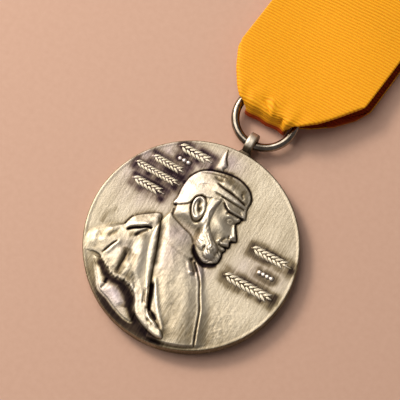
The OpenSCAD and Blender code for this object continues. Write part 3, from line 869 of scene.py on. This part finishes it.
def fabric_ribbon():
    """The ribbon as one closed folded strip with its ribs, thickness and gathers."""
    line, run = side_profile()
    s = np.arange(TOP_RISE, run[-1] - TOP_RISE, RIB / 4)[:, None]
    y_at = np.interp(s, run, line[:, 0])
    fold_s = run[np.argmin(line[:, 0])]
    back = ease((s - fold_s - 1.0) / 3.0)
    full = CLOTH_W / 2 / math.cos(LEAN)
    slope = math.tan(LEAN)
    hang = (SHOULDER[0] + (y_at - SHOULDER[1]) * slope + 0.8 * back * ease((60 - y_at) / 12))
    tied = ease((y_at - 27.5) / 11)
    centre = hang * tied
    edge_l, edge_r = hang - full, hang + full

    def soft_least(a, b, k):
        return 0.5 * (a + b - np.sqrt((a - b) ** 2 + k * k))

    front_r = np.interp(y_at, [27.9, 28.4, 29.0, 31.2, 33.4, 36.3, 38.5],
                        [4.2, 5.0, 6.1, 8.7, 10.7, 13.2, 15.2])
    front_l = np.interp(y_at, [27.9, 28.4, 28.9, 30.7, 33.7, 39.2], [3.9, 4.7, 5.6, 7.0, 8.8, 11.3])
    back_r = np.interp(y_at, [28.8, 29.8, 31.0, 33.5, 36.5, 38.5, 40.5],
                       [4.0, 5.2, 7.8, 11.4, 14.3, 15.6, 16.5])
    back_l = np.interp(y_at, [28.8, 30.4, 38.6], [3.8, 4.7, 11.0])
    tucked = ease((s - fold_s + 2.3) / 1.2)
    reach_r = front_r + (back_r - front_r) * tucked + 9 * ease((y_at - 37.6 - back) / 4)
    reach_l = front_l + (back_l - front_l) * tucked + 9 * ease((y_at - 38.6) / 4)
    right, left = soft_least(edge_r, reach_r, 0.5), soft_least(-edge_l, reach_l, 0.5)
    # Behind the ring's wire the turned-in flaps are squeezed away
    kept = 1 - tucked * ease((34 - y_at) / 1.5)
    over_r = np.maximum((full - (right - centre)) * kept, 0.25)
    over_l = np.maximum((full - (left + centre)) * kept, 0.25)

    def columns(over, bend):
        """Widths of the bend and flap beyond one fold line, at 14 steps from its start."""
        turn = np.minimum(over, math.pi * bend)
        steps = np.linspace(0, 1, 8)[1:]
        return np.concatenate([turn * steps, turn + (over - turn) * steps], axis=1)

    bend_r, bend_l = 0.26 - 0.08 * tucked, 0.50 - 0.30 * tucked
    past_r, past_l = columns(over_r, bend_r), columns(over_l, bend_l)
    middle = np.linspace(0, 1, 31)[None, :]
    flat = -left + (right + left) * middle

    def turned(edge, past, bend):
        """Place across and depth of a point `past` the fold line: round a half circle, then
        straight back underneath."""
        a = np.minimum(past / bend, math.pi)
        rest = np.maximum(past - math.pi * bend, 0)
        return edge + bend * np.sin(a) - rest, bend * (1 - np.cos(a))

    out_r, in_r = turned(right, past_r, bend_r)
    out_l, in_l = turned(left, past_l, bend_l)
    x = np.concatenate([-out_l[:, ::-1], flat, out_r], axis=1)
    inward = np.concatenate([in_l[:, ::-1], 0 * flat, in_r], axis=1)
    across = np.concatenate([-(left + past_l)[:, ::-1], flat, right + past_r], axis=1) - centre

    # Ribs run a little skew: a point to the right lies a little further up the strip
    skew = math.tan(math.radians(1.6)) * ease((y_at - 32) / 10) * (1 - back)
    # At the top they run square to the strip
    square = ease((y_at - 56) / 12)
    turn = (x - centre) * slope * square * (1 - 2 * back)
    place = s - x * skew * (1 - square) + turn
    # Ribs waver, and pucker where the cloth is gathered into the ring
    front = 1 - back
    place = place + 0.05 * np.sin(x * 0.9 + s * 0.35) * front
    px, py = x, np.interp(place, run, line[:, 0])
    gather = ease((34 - py) / 5) * front
    place = place - gather * (0.70 * bump(px, py, -0.4, 31.0, 1.3, 0.9)
                              - 0.55 * bump(px, py, 1.1, 29.8, 1.0, 0.8)
                              + 0.22 * bump(px, py, -3.6, 29.4, 1.8, 0.9)
                              - 0.20 * bump(px, py, 4.2, 30.6, 1.2, 1.2))
    place = np.clip(place, 0, run[-1])
    y = np.interp(place, run, line[:, 0])
    z = np.interp(place, run, line[:, 1])
    dy = np.interp(place + 0.15, run, line[:, 0]) - np.interp(place - 0.15, run, line[:, 0])
    dz = np.interp(place + 0.15, run, line[:, 1]) - np.interp(place - 0.15, run, line[:, 1])
    size = np.hypot(dy, dz) + 1e-9
    # The loop's inward direction is its heading turned a quarter to the left
    ny, nz = -dz / size, dy / size
    ridge = [(1.6, 28.4), (0.9, 29.3), (0.0, 30.4), (-0.9, 31.4)]
    crease = [(0.8, 28.2), (0.0, 29.2), (-0.9, 30.0), (-2.2, 30.7)]
    lift = gather * (0.30 * stroke(px, py, ridge, 0.36, 0.3)
                     - 0.30 * stroke(px, py, crease, 0.34, 0.3)
                     + 0.14 * stroke(px, py, [(-3.6, 28.4), (-3.9, 30.0), (-5.2, 31.6)], 0.5, 0.3)
                     - 0.50 * bump(px, py, 3.1, 28.5, 0.5, 0.6)
                     + 0.26 * bump(px, py, 4.3, 28.6, 0.5, 1.2, -20)
                     + 0.10 * np.sin(px * 1.7 + 0.6))
    sag = 0.16 * np.sin(0.23 * x + 0.11 * y) * ease((y - 30) / 8) * ease((62 - y) / 8) * front
    depth = inward - lift - sag
    centre_line = np.stack([x, y + ny * depth, z + nz * depth], -1)

    step_s = np.gradient(centre_line, axis=0)
    step_x = np.gradient(centre_line, axis=1)
    normal = np.cross(step_s, step_x)
    normal /= np.linalg.norm(normal, axis=2, keepdims=True) + 1e-12
    flat_part = ease((x + left - 0.05) / 0.45) * ease((right - 0.05 - x) / 0.45)
    ribs = 0.055 * (0.35 + 0.65 * flat_part) * (np.abs(np.sin(np.pi * s / RIB)) * 2 - 1.3)
    half = CLOTH_T / 2
    one = centre_line + normal * (half + ribs)[..., None]
    two = centre_line - normal * (half + ribs)[..., None]
    rows, cols = x.shape
    points = np.vstack([one.reshape(-1, 3), two.reshape(-1, 3)])
    n = rows * cols
    border = grid_rim(rows, cols)
    nxt = np.roll(border, -1)
    wall = np.stack([border, nxt, nxt + n, border + n], 1)
    faces = [grid_faces(rows, cols)[:, ::-1], grid_faces(rows, cols, start=n), wall]
    piece = make_mesh("grosgrain_ribbon", points, faces)
    point_value(piece, "along_strip", np.tile(np.broadcast_to(s, x.shape).ravel(), 2))
    point_value(piece, "across_strip", np.tile(across.ravel(), 2))
    turned_by = np.concatenate([in_l[:, ::-1] / bend_l, 0 * flat, in_r / bend_r], axis=1)
    flap = ease((turned_by - 0.9) / 0.8)
    # Painted shade: inside the fold the colour is deep, and on its outside only round the bottom of
    # the loop
    inside = np.maximum(ease((s - fold_s + 1.6) / 0.7), flap)
    outside = np.maximum(ease((s - fold_s + 1.6) / 0.7) * ease((fold_s + 1.8 - s) / 1.4), flap)
    point_value(piece, "painted_fold_shade", np.concatenate([outside.ravel(), inside.ravel()]))
    return piece, run[-1] - 2 * TOP_RISE


# ---------------------------------------------------------------- threads


def thread_piece(name, ends, body_r, bow=0.25, steps=14, sides=8):
    """Sewing stitches, each a short thread from one point to another that bows out of the
    cloth: its height is a half sine, its ends dive in, and its waist swells like a twist."""
    all_points, all_faces = [], []
    for k, (a, b, up) in enumerate(ends):
        a, b, up = np.array(a, float), np.array(b, float), np.array(up, float)
        t = np.linspace(0, 1, steps)[:, None]
        path = a + (b - a) * t + up * (bow * np.sin(np.pi * t) - 0.12)
        path[0] -= up * 0.12
        path[-1] -= up * 0.12
        ahead = np.gradient(path, axis=0)
        ahead /= np.linalg.norm(ahead, axis=1, keepdims=True)
        e1 = np.cross(ahead, up)
        e1 /= np.linalg.norm(e1, axis=1, keepdims=True)
        e2 = np.cross(ahead, e1)
        q = np.linspace(0, TAU, sides, endpoint=False)[None, :, None]
        r = body_r * (1 + 0.12 * np.sin(TAU * 4 * t))[:, None]
        ring = path[:, None] + r * (np.cos(q) * e1[:, None] + np.sin(q) * e2[:, None])
        start = k * steps * sides
        all_points.append(ring.reshape(-1, 3))
        all_faces.append(grid_faces(steps, sides, close_cols=True, start=start))
        all_faces.append(start + np.arange(sides)[None, ::-1])
        all_faces.append(start + (steps - 1) * sides + np.arange(sides)[None, :])
    return make_mesh(name, np.vstack(all_points), all_faces)


def on_strip(u, v, z):
    """A point of the strip: u across it and v up it from the shoulder."""
    return (SHOULDER[0] + u * math.cos(LEAN) + v * math.sin(LEAN),
            SHOULDER[1] - u * math.sin(LEAN) + v * math.cos(LEAN), z)


# ---------------------------------------------------------------- materials


def hue(code, alpha=1.0):
    """An sRGB hex colour as linear red, green, blue and alpha."""
    parts = [int(code[i : i + 2], 16) / 255 for i in (1, 3, 5)]
    return tuple(c / 12.92 if c <= 0.04045 else ((c + 0.055) / 1.055) ** 2.4
                 for c in parts) + (alpha,)


class Finish:
    """A material with its shader, and one call that adds a node with settings and links."""

    def __init__(self, name, **shader):
        self.material = bpy.data.materials.new(name)
        self.material.use_nodes = True
        self.tree = self.material.node_tree
        self.shader = self.tree.nodes["Principled BSDF"]
        for socket, value in shader.items():
            self.shader.inputs[socket.replace("_", " ")].default_value = value

    def add(self, kind, links=None, ramp=None, **settings):
        """Adds a node. Settings are its own properties, or input values by name or number;
        links give input sockets their source; ramp is a list of (place, colour)."""
        node = self.tree.nodes.new(kind)
        for key, value in settings.items():
            if key.startswith("in_"):
                name = key[3:]
                node.inputs[int(name) if name.isdigit() else name].default_value = value
            else:
                setattr(node, key, value)
        for key, source in (links or {}).items():
            self.tree.links.new(source, node.inputs[key])
        if ramp:
            while len(node.color_ramp.elements) < len(ramp):
                node.color_ramp.elements.new(0.5)
            for element, (place, colour) in zip(node.color_ramp.elements, ramp):
                element.position = place
                element.color = colour
        return node.outputs

    def feed(self, socket, source):
        self.tree.links.new(source, self.shader.inputs[socket])


def antiqued_bronze():
    """Struck bronze, darkened in a sulphur bath and rubbed back: the high places are pale and
    brushed, the hollows keep a brown-black patina. Painted shade, painted highlights and a painted
    lavender reflection are mixed into its colour as well."""
    f = Finish("antiqued_bronze", Metallic=1.0, Roughness=0.36)
    where = f.add("ShaderNodeTexCoord")["Object"]
    fine = f.add("ShaderNodeAttribute", attribute_name="fine_height")["Fac"]
    broad = f.add("ShaderNodeAttribute", attribute_name="broad_height")["Fac"]
    halo = f.add("ShaderNodeAttribute", attribute_name="halo")["Fac"]
    # Brush marks run up the face, 0.2 mm apart and several millimetres long
    marks_at = f.add("ShaderNodeMapping", {"Vector": where}, in_Scale=(5200, 240, 900))["Vector"]
    marks = f.add("ShaderNodeTexNoise", {"Vector": marks_at}, in_Scale=1.0, in_Detail=3.0)["Fac"]
    # Pickling leaves a fine pebbled skin, 0.3 mm across
    pebble = f.add("ShaderNodeTexNoise", {"Vector": where}, in_Scale=2600.0, in_Detail=4.0)["Fac"]
    cloud = f.add("ShaderNodeTexNoise", {"Vector": where}, in_Scale=190.0, in_Detail=4.0)["Fac"]
    a = f.add("ShaderNodeMath", {0: fine}, operation="MULTIPLY", in_1=1.5)[0]
    b = f.add("ShaderNodeMath", {0: broad}, operation="MULTIPLY", in_1=0.35)[0]
    ab = f.add("ShaderNodeMath", {0: a, 1: b}, operation="ADD")[0]
    c = f.add("ShaderNodeMath", {0: halo}, operation="MULTIPLY", in_1=-0.41)[0]
    # Patina together with painted shade and painted highlights
    patina_and_painted_light = f.add("ShaderNodeAttribute", attribute_name="patina_and_painted_light")["Fac"]
    tarnish_and_painted_reflection = f.add("ShaderNodeAttribute", attribute_name="tarnish_and_painted_reflection")["Fac"]
    e = f.add("ShaderNodeMath", {0: patina_and_painted_light, 2: c}, operation="MULTIPLY_ADD", in_1=-0.56)[0]
    abc = f.add("ShaderNodeMath", {0: ab, 1: e}, operation="ADD")[0]
    grain = f.add("ShaderNodeMath", {0: marks}, operation="MULTIPLY_ADD", in_1=0.34, in_2=-0.17)[0]
    spots = f.add("ShaderNodeMath", {0: cloud}, operation="MULTIPLY_ADD", in_1=0.30, in_2=0.47)[0]
    d = f.add("ShaderNodeMath", {0: grain, 1: spots}, operation="ADD")[0]
    wear_and_painted_light = f.add("ShaderNodeMath", {0: abc, 1: d}, operation="ADD", use_clamp=True)[0]
    colour = f.add("ShaderNodeValToRGB", {"Fac": wear_and_painted_light}, ramp=[
        (0.0, hue("#1C1416")), (0.20, hue("#41352C")), (0.42, hue("#8A7C62")),
        (0.62, hue("#CBBFA8")), (1.0, hue("#F6EDDB"))])["Color"]
    # The lavender tint, partly tarnish and partly painted reflection, multiplied in
    tint = f.add("ShaderNodeMath", {0: tarnish_and_painted_reflection}, operation="MULTIPLY", in_1=0.75)[0]
    tinted = f.add("ShaderNodeMix", {0: tint, 6: colour}, data_type="RGBA",
                   blend_type="MULTIPLY", in_7=hue("#CFC2F4"))[2]
    f.feed("Base Color", tinted)
    rough = f.add("ShaderNodeMapRange", {"Value": wear_and_painted_light}, in_3=0.60, in_4=0.47)["Result"]
    f.feed("Roughness", rough)
    low = f.add("ShaderNodeBump", {"Height": marks}, in_Strength=0.16,
                in_Distance=0.00006)["Normal"]
    skin = f.add("ShaderNodeBump", {"Height": pebble, "Normal": low}, in_Strength=0.50,
                 in_Distance=0.00008)["Normal"]
    f.feed("Normal", skin)
    return f.material


def bronze_wire():
    """Drawn bronze wire, tumbled bright: a pale warm metal with a brown film and faint marks."""
    f = Finish("drawn_bronze_wire", Metallic=1.0, Roughness=0.22)
    where = f.add("ShaderNodeTexCoord")["Object"]
    film = f.add("ShaderNodeTexNoise", {"Vector": where}, in_Scale=420.0, in_Detail=5.0)["Fac"]
    colour = f.add("ShaderNodeValToRGB", {"Fac": film}, ramp=[
        (0.30, hue("#54493E")), (0.52, hue("#9C9080")), (0.75, hue("#D2C9BB"))])["Color"]
    f.feed("Base Color", colour)
    rough = f.add("ShaderNodeMapRange", {"Value": film}, in_3=0.26, in_4=0.13)["Result"]
    f.feed("Roughness", rough)
    scratch = f.add("ShaderNodeTexNoise", {"Vector": where}, in_Scale=5200.0, in_Detail=2.0)["Fac"]
    f.feed("Normal", f.add("ShaderNodeBump", {"Height": scratch}, in_Strength=0.10,
                           in_Distance=0.00004)["Normal"])
    return f.material


def grosgrain():
    """Rayon grosgrain: fat weft ribs under a dense fine warp, bright with a soft sheen, with
    painted shade in the grooves between the ribs and on the turned-under cloth, and painted
    highlights on the crests."""
    f = Finish("rayon_grosgrain", Metallic=0.0, Roughness=0.60, Sheen_Weight=0.06,
               Sheen_Roughness=0.45, Specular_IOR_Level=0.22)
    f.shader.inputs["Sheen Tint"].default_value = hue("#FFD070")
    along = f.add("ShaderNodeAttribute", attribute_name="along_strip")["Fac"]
    across = f.add("ShaderNodeAttribute", attribute_name="across_strip")["Fac"]
    # Position in a rib, 0.58 mm each: 0 in the groove and 1 on the crest
    phase = f.add("ShaderNodeMath", {0: along}, operation="MULTIPLY", in_1=math.pi / RIB)[0]
    wave = f.add("ShaderNodeMath", {0: phase}, operation="SINE")[0]
    crest = f.add("ShaderNodeMath", {0: wave}, operation="ABSOLUTE")[0]
    # Warp threads cross the ribs, 0.17 mm apart
    thread = f.add("ShaderNodeMath", {0: across}, operation="MULTIPLY", in_1=TAU / 0.17)[0]
    warp = f.add("ShaderNodeMath", {0: thread}, operation="SINE")[0]
    spot = f.add("ShaderNodeCombineXYZ", {"X": across, "Y": along})[0]
    slub_at = f.add("ShaderNodeMapping", {"Vector": spot}, in_Scale=(0.55, 1.72, 1))["Vector"]
    slub = f.add("ShaderNodeTexNoise", {"Vector": slub_at}, in_Scale=1.6, in_Detail=3.0)["Fac"]
    # Painted shade in the grooves and painted highlights on the crests of the ribs
    shade = f.add("ShaderNodeMath", {0: crest}, operation="MULTIPLY_ADD", in_1=0.72, in_2=-0.02)[0]
    lively = f.add("ShaderNodeMath", {0: slub}, operation="MULTIPLY_ADD", in_1=0.45, in_2=-0.10)[0]
    mix = f.add("ShaderNodeMath", {0: shade, 1: lively}, operation="ADD", use_clamp=True)[0]
    colour = f.add("ShaderNodeValToRGB", {"Fac": mix}, ramp=[
        (0.0, hue("#D98206")), (0.45, hue("#F4A310")), (1.0, hue("#FFB91E"))])["Color"]
    # Painted shade: the turned-under part and the bottom of the loop get a deeper colour multiplied
    # in
    under = f.add("ShaderNodeAttribute", attribute_name="painted_fold_shade")["Fac"]
    deep = f.add("ShaderNodeMix", {0: under, 6: colour}, data_type="RGBA",
                 blend_type="MULTIPLY", in_7=hue("#B05A40"))[2]
    f.feed("Base Color", deep)
    twill = f.add("ShaderNodeMath", {0: warp, 1: crest}, operation="MULTIPLY")[0]
    low = f.add("ShaderNodeBump", {"Height": crest}, in_Strength=0.30,
                in_Distance=0.00010)["Normal"]
    f.feed("Normal", f.add("ShaderNodeBump", {"Height": twill, "Normal": low}, in_Strength=0.25,
                           in_Distance=0.00003)["Normal"])
    return f.material


def nickel_plate():
    """Nickel-plated brass, stamped and barrelled: bright grey with a slight warm cast, cloudy
    from handling and lightly scuffed."""
    f = Finish("nickelled_brass", Metallic=1.0, Roughness=0.28)
    where = f.add("ShaderNodeTexCoord")["Object"]
    cloud = f.add("ShaderNodeTexNoise", {"Vector": where}, in_Scale=330.0, in_Detail=5.0)["Fac"]
    f.feed("Base Color", f.add("ShaderNodeValToRGB", {"Fac": cloud}, ramp=[
        (0.3, hue("#A8A49C")), (0.7, hue("#D4D0C8"))])["Color"])
    f.feed("Roughness", f.add("ShaderNodeMapRange", {"Value": cloud}, in_3=0.40,
                              in_4=0.20)["Result"])
    scuff = f.add("ShaderNodeTexNoise", {"Vector": where}, in_Scale=3800.0, in_Detail=3.0)["Fac"]
    f.feed("Normal", f.add("ShaderNodeBump", {"Height": scuff}, in_Strength=0.12,
                           in_Distance=0.00004)["Normal"])
    return f.material


def polished_steel():
    """Drawn spring steel, polished: cool grey and bright, with fine lines along the wire."""
    f = Finish("polished_spring_steel", Metallic=1.0, Roughness=0.2)
    where = f.add("ShaderNodeTexCoord")["Object"]
    lines_at = f.add("ShaderNodeMapping", {"Vector": where}, in_Scale=(300, 6000, 6000))["Vector"]
    lines = f.add("ShaderNodeTexNoise", {"Vector": lines_at}, in_Scale=1.0, in_Detail=3.0)["Fac"]
    f.feed("Base Color", f.add("ShaderNodeValToRGB", {"Fac": lines}, ramp=[
        (0.3, hue("#B4B4B4")), (0.7, hue("#DCDCDA"))])["Color"])
    f.feed("Roughness", f.add("ShaderNodeMapRange", {"Value": lines}, in_3=0.26,
                              in_4=0.14)["Result"])
    return f.material


def buckram():
    """Buckram, a sized cotton canvas: an off-white matt board with a coarse open weave."""
    f = Finish("sized_cotton_buckram", Roughness=0.9, Sheen_Weight=0.15)
    where = f.add("ShaderNodeTexCoord")["Object"]
    weave = f.add("ShaderNodeTexChecker", {"Vector": where}, in_Scale=1700.0,
                  in_Color1=hue("#D8D0BC"), in_Color2=hue("#C2B89F"))
    f.feed("Base Color", weave["Color"])
    f.feed("Normal", f.add("ShaderNodeBump", {"Height": weave["Fac"]}, in_Strength=0.4,
                           in_Distance=0.00008)["Normal"])
    return f.material


def sewing_thread():
    """Twisted polyester sewing thread, a shade deeper than the ribbon, with its two plies
    showing as slanting lines 0.4 mm apart."""
    f = Finish("twisted_sewing_thread", Roughness=0.7, Sheen_Weight=0.3)
    where = f.add("ShaderNodeTexCoord")["Object"]
    turned = f.add("ShaderNodeMapping", {"Vector": where}, in_Rotation=(0.5, 0.4, 0.8))["Vector"]
    ply = f.add("ShaderNodeTexWave", {"Vector": turned}, in_Scale=500.0, in_Distortion=1.0)["Fac"]
    f.feed("Base Color", f.add("ShaderNodeValToRGB", {"Fac": ply}, ramp=[
        (0.2, hue("#D07A10")), (0.8, hue("#FFC04A"))])["Color"])
    f.feed("Normal", f.add("ShaderNodeBump", {"Height": ply}, in_Strength=0.5,
                           in_Distance=0.00008)["Normal"])
    return f.material


def dress(piece, material):
    """Gives a piece its one material."""
    piece.data.materials.clear()
    piece.data.materials.append(material)
    return piece


# ---------------------------------------------------------------- the object

BRONZE = antiqued_bronze()
NICKEL = nickel_plate()
STEEL = polished_steel()


def halo_at(x, y):
    """How much patina was left round the laurel rows: 1 within each row's box, falling off over 0.7
    mm outside it, and deeper towards the lower right of a row, a painted shade on the side away
    from the light."""
    total = np.zeros(x.shape)
    for x0, x1, mid, tall in GARLANDS + BERRIES:
        dx = np.maximum(np.abs(x - (x0 + x1) / 2 - 0.1) - (x1 - x0) / 2, 0)
        dy = np.maximum(np.abs(y - mid + 0.1) - tall / 2, 0)
        total = np.maximum(total, np.exp(-((np.hypot(dx, dy) / 0.95) ** 2)))
    return total * (0.78 + 0.45 * mottle(x, y, 1.1, 8)) - 1.1 * ease((berries(x, y) - 0.08) / 0.12)


def make_disc():
    """The struck disc in two halves, its laurel rows and the wreath on its back."""
    front, x, y = struck_half("struck_disc_face", 300, relief, up=True)
    rim = np.zeros(len(front.data.vertices) - x.size)
    point_value(front, "halo", np.concatenate([halo_at(x, y).ravel(), rim]))
    point_value(front, "patina_and_painted_light", np.concatenate([patina_and_painted_light_at(x, y).ravel(), rim + 0.35]))
    tarnish_and_painted_reflection = np.maximum(tarnish_and_painted_reflection_at(x, y), 1.4 * halo_at(x, y) * ease((10 - x) / 12))
    point_value(front, "tarnish_and_painted_reflection", np.concatenate([tarnish_and_painted_reflection.ravel(), rim]))
    back, bx, _ = struck_half("struck_disc_back", 170, back_height, up=False)
    point_value(back, "patina_and_painted_light", np.where(np.arange(len(back.data.vertices)) < bx.size, 0, 0.35))
    for name in ("halo", "tarnish_and_painted_reflection"):
        point_value(back, name, np.zeros(len(back.data.vertices)))
    rows = leaves("laurel_rows", garland_leaves(), lambda u, v: RIM_T + field(np.hypot(u, v)),
                  0.26)
    wreath = leaves("laurel_wreath_back", wreath_leaves(), back_height, 0.24)
    flip = np.array([v.co for v in wreath.data.vertices])
    flip[:, 2] *= -1
    wreath.data.vertices.foreach_set("co", flip.astype(np.float32).ravel())
    wreath.data.flip_normals()
    wreath.data.update()
    for piece in (rows, wreath):
        co = np.array([v.co for v in piece.data.vertices])
        top = np.tile(leaf_shape()[2].ravel(), len(co) // 63)
        point_value(piece, "fine_height", 0.10 * (top - 0.45))
        point_value(piece, "broad_height", np.full(len(co), 0.20))
        for name in ("halo", "patina_and_painted_light", "tarnish_and_painted_reflection"):
            point_value(piece, name, np.zeros(len(co)))
    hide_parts("medal_disc")
    for piece in (front, back, rows, wreath):
        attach(dress(piece, BRONZE), "medal")


def make_suspension():
    """The eye on the disc and the ring through it."""
    eye = suspension_eye()
    for name, value in (("fine_height", 0.0), ("broad_height", 0.2), ("halo", 0.0), ("tarnish_and_painted_reflection", 0.1)):
        point_value(eye, name, np.full(len(eye.data.vertices), value))
    place = np.array([v.co for v in eye.data.vertices]) / MM
    # Painted shade on the eye's foot and on its right side, turned from the light
    foot = ease((EYE[1] - 0.7 - place[:, 1]) / 0.9)
    point_value(eye, "patina_and_painted_light", np.maximum(0.95 * foot, 0.6 * ease((place[:, 0] - 0.4) / 0.3)) - 0.25)
    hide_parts("suspension_eye")
    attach(dress(eye, BRONZE), "medal")
    ring = suspension_ring()
    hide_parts("suspension_ring")
    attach(dress(ring, bronze_wire()), "ring")


def make_ribbon():
    """The folded ribbon with the stitches that close its top and hold the brooch."""
    cloth, length = fabric_ribbon()
    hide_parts("ribbon")
    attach(dress(cloth, grosgrain()), "ribbon")
    thread = sewing_thread()
    up, down = (0, 0, 1), (0, 0, -1)
    pitch, half = 2.2, 0.7
    seam = [(on_strip(pitch * i - half, STITCH_V, STITCH_Z),
             on_strip(pitch * i + half, STITCH_V, STITCH_Z), up) for i in range(-5, 6)]
    row = thread_piece("top_seam_thread", seam, 0.16)
    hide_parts("top_seam")
    plate_low = corner("brooch_plate", 0)[2]
    half = 0.9
    held = [(on_strip(u - half, BROOCH_V + v, plate_low),
             on_strip(u + half, BROOCH_V + v, plate_low), down)
            for u in (-6.5, -2, 2, 6.5) for v in (-2.55, 2.55)]
    sewn = thread_piece("plate_stitch_thread", held, 0.2)
    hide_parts("plate_stitches")
    for piece in (row, sewn):
        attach(dress(piece, thread), "ribbon")
    dress(frame["nodes"]["ribbon_stiffener"], buckram())


def make_brooch():
    """Plate, bracket, catch and roller in nickelled brass; rivet and needle in steel."""
    for node in ("brooch_plate", "hinge_bracket", "catch_base", "catch_roller"):
        dress(frame["nodes"][node], NICKEL)
    for node in ("hinge_rivet", "pin_needle"):
        dress(frame["nodes"][node], STEEL)


make_disc()
make_suspension()
make_ribbon()
make_brooch()


# ---------------------------------------------------------------- floor, light and camera


def make_floor():
    """A plain pale table top with a faint tooth."""
    f = Finish("pale_matt_card", Roughness=0.75)
    where = f.add("ShaderNodeTexCoord")["Object"]
    tooth = f.add("ShaderNodeTexNoise", {"Vector": where}, in_Scale=900.0, in_Detail=4.0)["Fac"]
    f.feed("Base Color", f.add("ShaderNodeValToRGB", {"Fac": tooth}, ramp=[
        (0.3, hue("#CBA48F")), (0.7, hue("#CFA994"))])["Color"])
    side = 1500.0
    floor = make_mesh("table_top", np.array([(-side, -side, 0), (side, -side, 0),
                      (side, side, 0), (-side, side, 0)]), [np.array([[0, 1, 2, 3]])])
    floor.location.z = -0.00002
    dress(floor, f.material)


def aim(thing, place, target):
    """Puts a lamp or camera at a place in metres, looking at a target."""
    thing.location = place
    thing.rotation_euler = (Vector(target) - Vector(place)).to_track_quat("-Z", "Y").to_euler()


def make_lights():
    """A big softbox over the upper left of the view, which the face of the disc mirrors, a
    smaller key beside it that throws soft shadows to the lower right, and a dim room."""
    bpy.context.scene.view_settings.view_transform = "Standard"
    world = bpy.data.worlds.new("soft_room")
    bpy.context.scene.world = world
    world.use_nodes = True
    world.node_tree.nodes["Background"].inputs["Color"].default_value = hue("#F1EAEA")
    world.node_tree.nodes["Background"].inputs["Strength"].default_value = 0.16
    for name, place, size, watts, tint in (
            ("softbox", (-0.36, 0.11, 0.46), 0.70, 3.3, "#FFFAF4"),
            ("key", (-0.40, 0.13, 0.34), 0.15, 1.55, "#FFF3E2")):
        lamp = bpy.data.lights.new(name, "AREA")
        lamp.shape = "DISK"
        lamp.size = size
        lamp.energy = watts
        lamp.color = hue(tint)[:3]
        shine = bpy.data.objects.new(name, lamp)
        bpy.context.scene.collection.objects.link(shine)
        aim(shine, place, (0, 0.01, 0))


def make_camera():
    """A long lens 0.45 m away, turned 29.6 degrees round the medal and 74.6 degrees up."""
    turn, rise, away = math.radians(29.6), math.radians(74.6), 0.45
    target = Vector((-0.0028, 0.00815, 0.003))
    back = Vector((math.sin(turn) * math.cos(rise), -math.cos(turn) * math.cos(rise),
                   math.sin(rise)))
    seen_w = 0.0738
    lens = bpy.data.cameras.new("camera")
    lens.lens = lens.sensor_width * away / seen_w
    lens.clip_start = 0.01
    view = bpy.data.objects.new("camera", lens)
    bpy.context.scene.collection.objects.link(view)
    view.location = target + away * back
    right = Vector((math.cos(turn), math.sin(turn), 0))
    up = back.cross(right)
    view.rotation_euler = Matrix((right, up, back)).transposed().to_euler()
    bpy.context.scene.camera = view


make_floor()
make_lights()
make_camera()
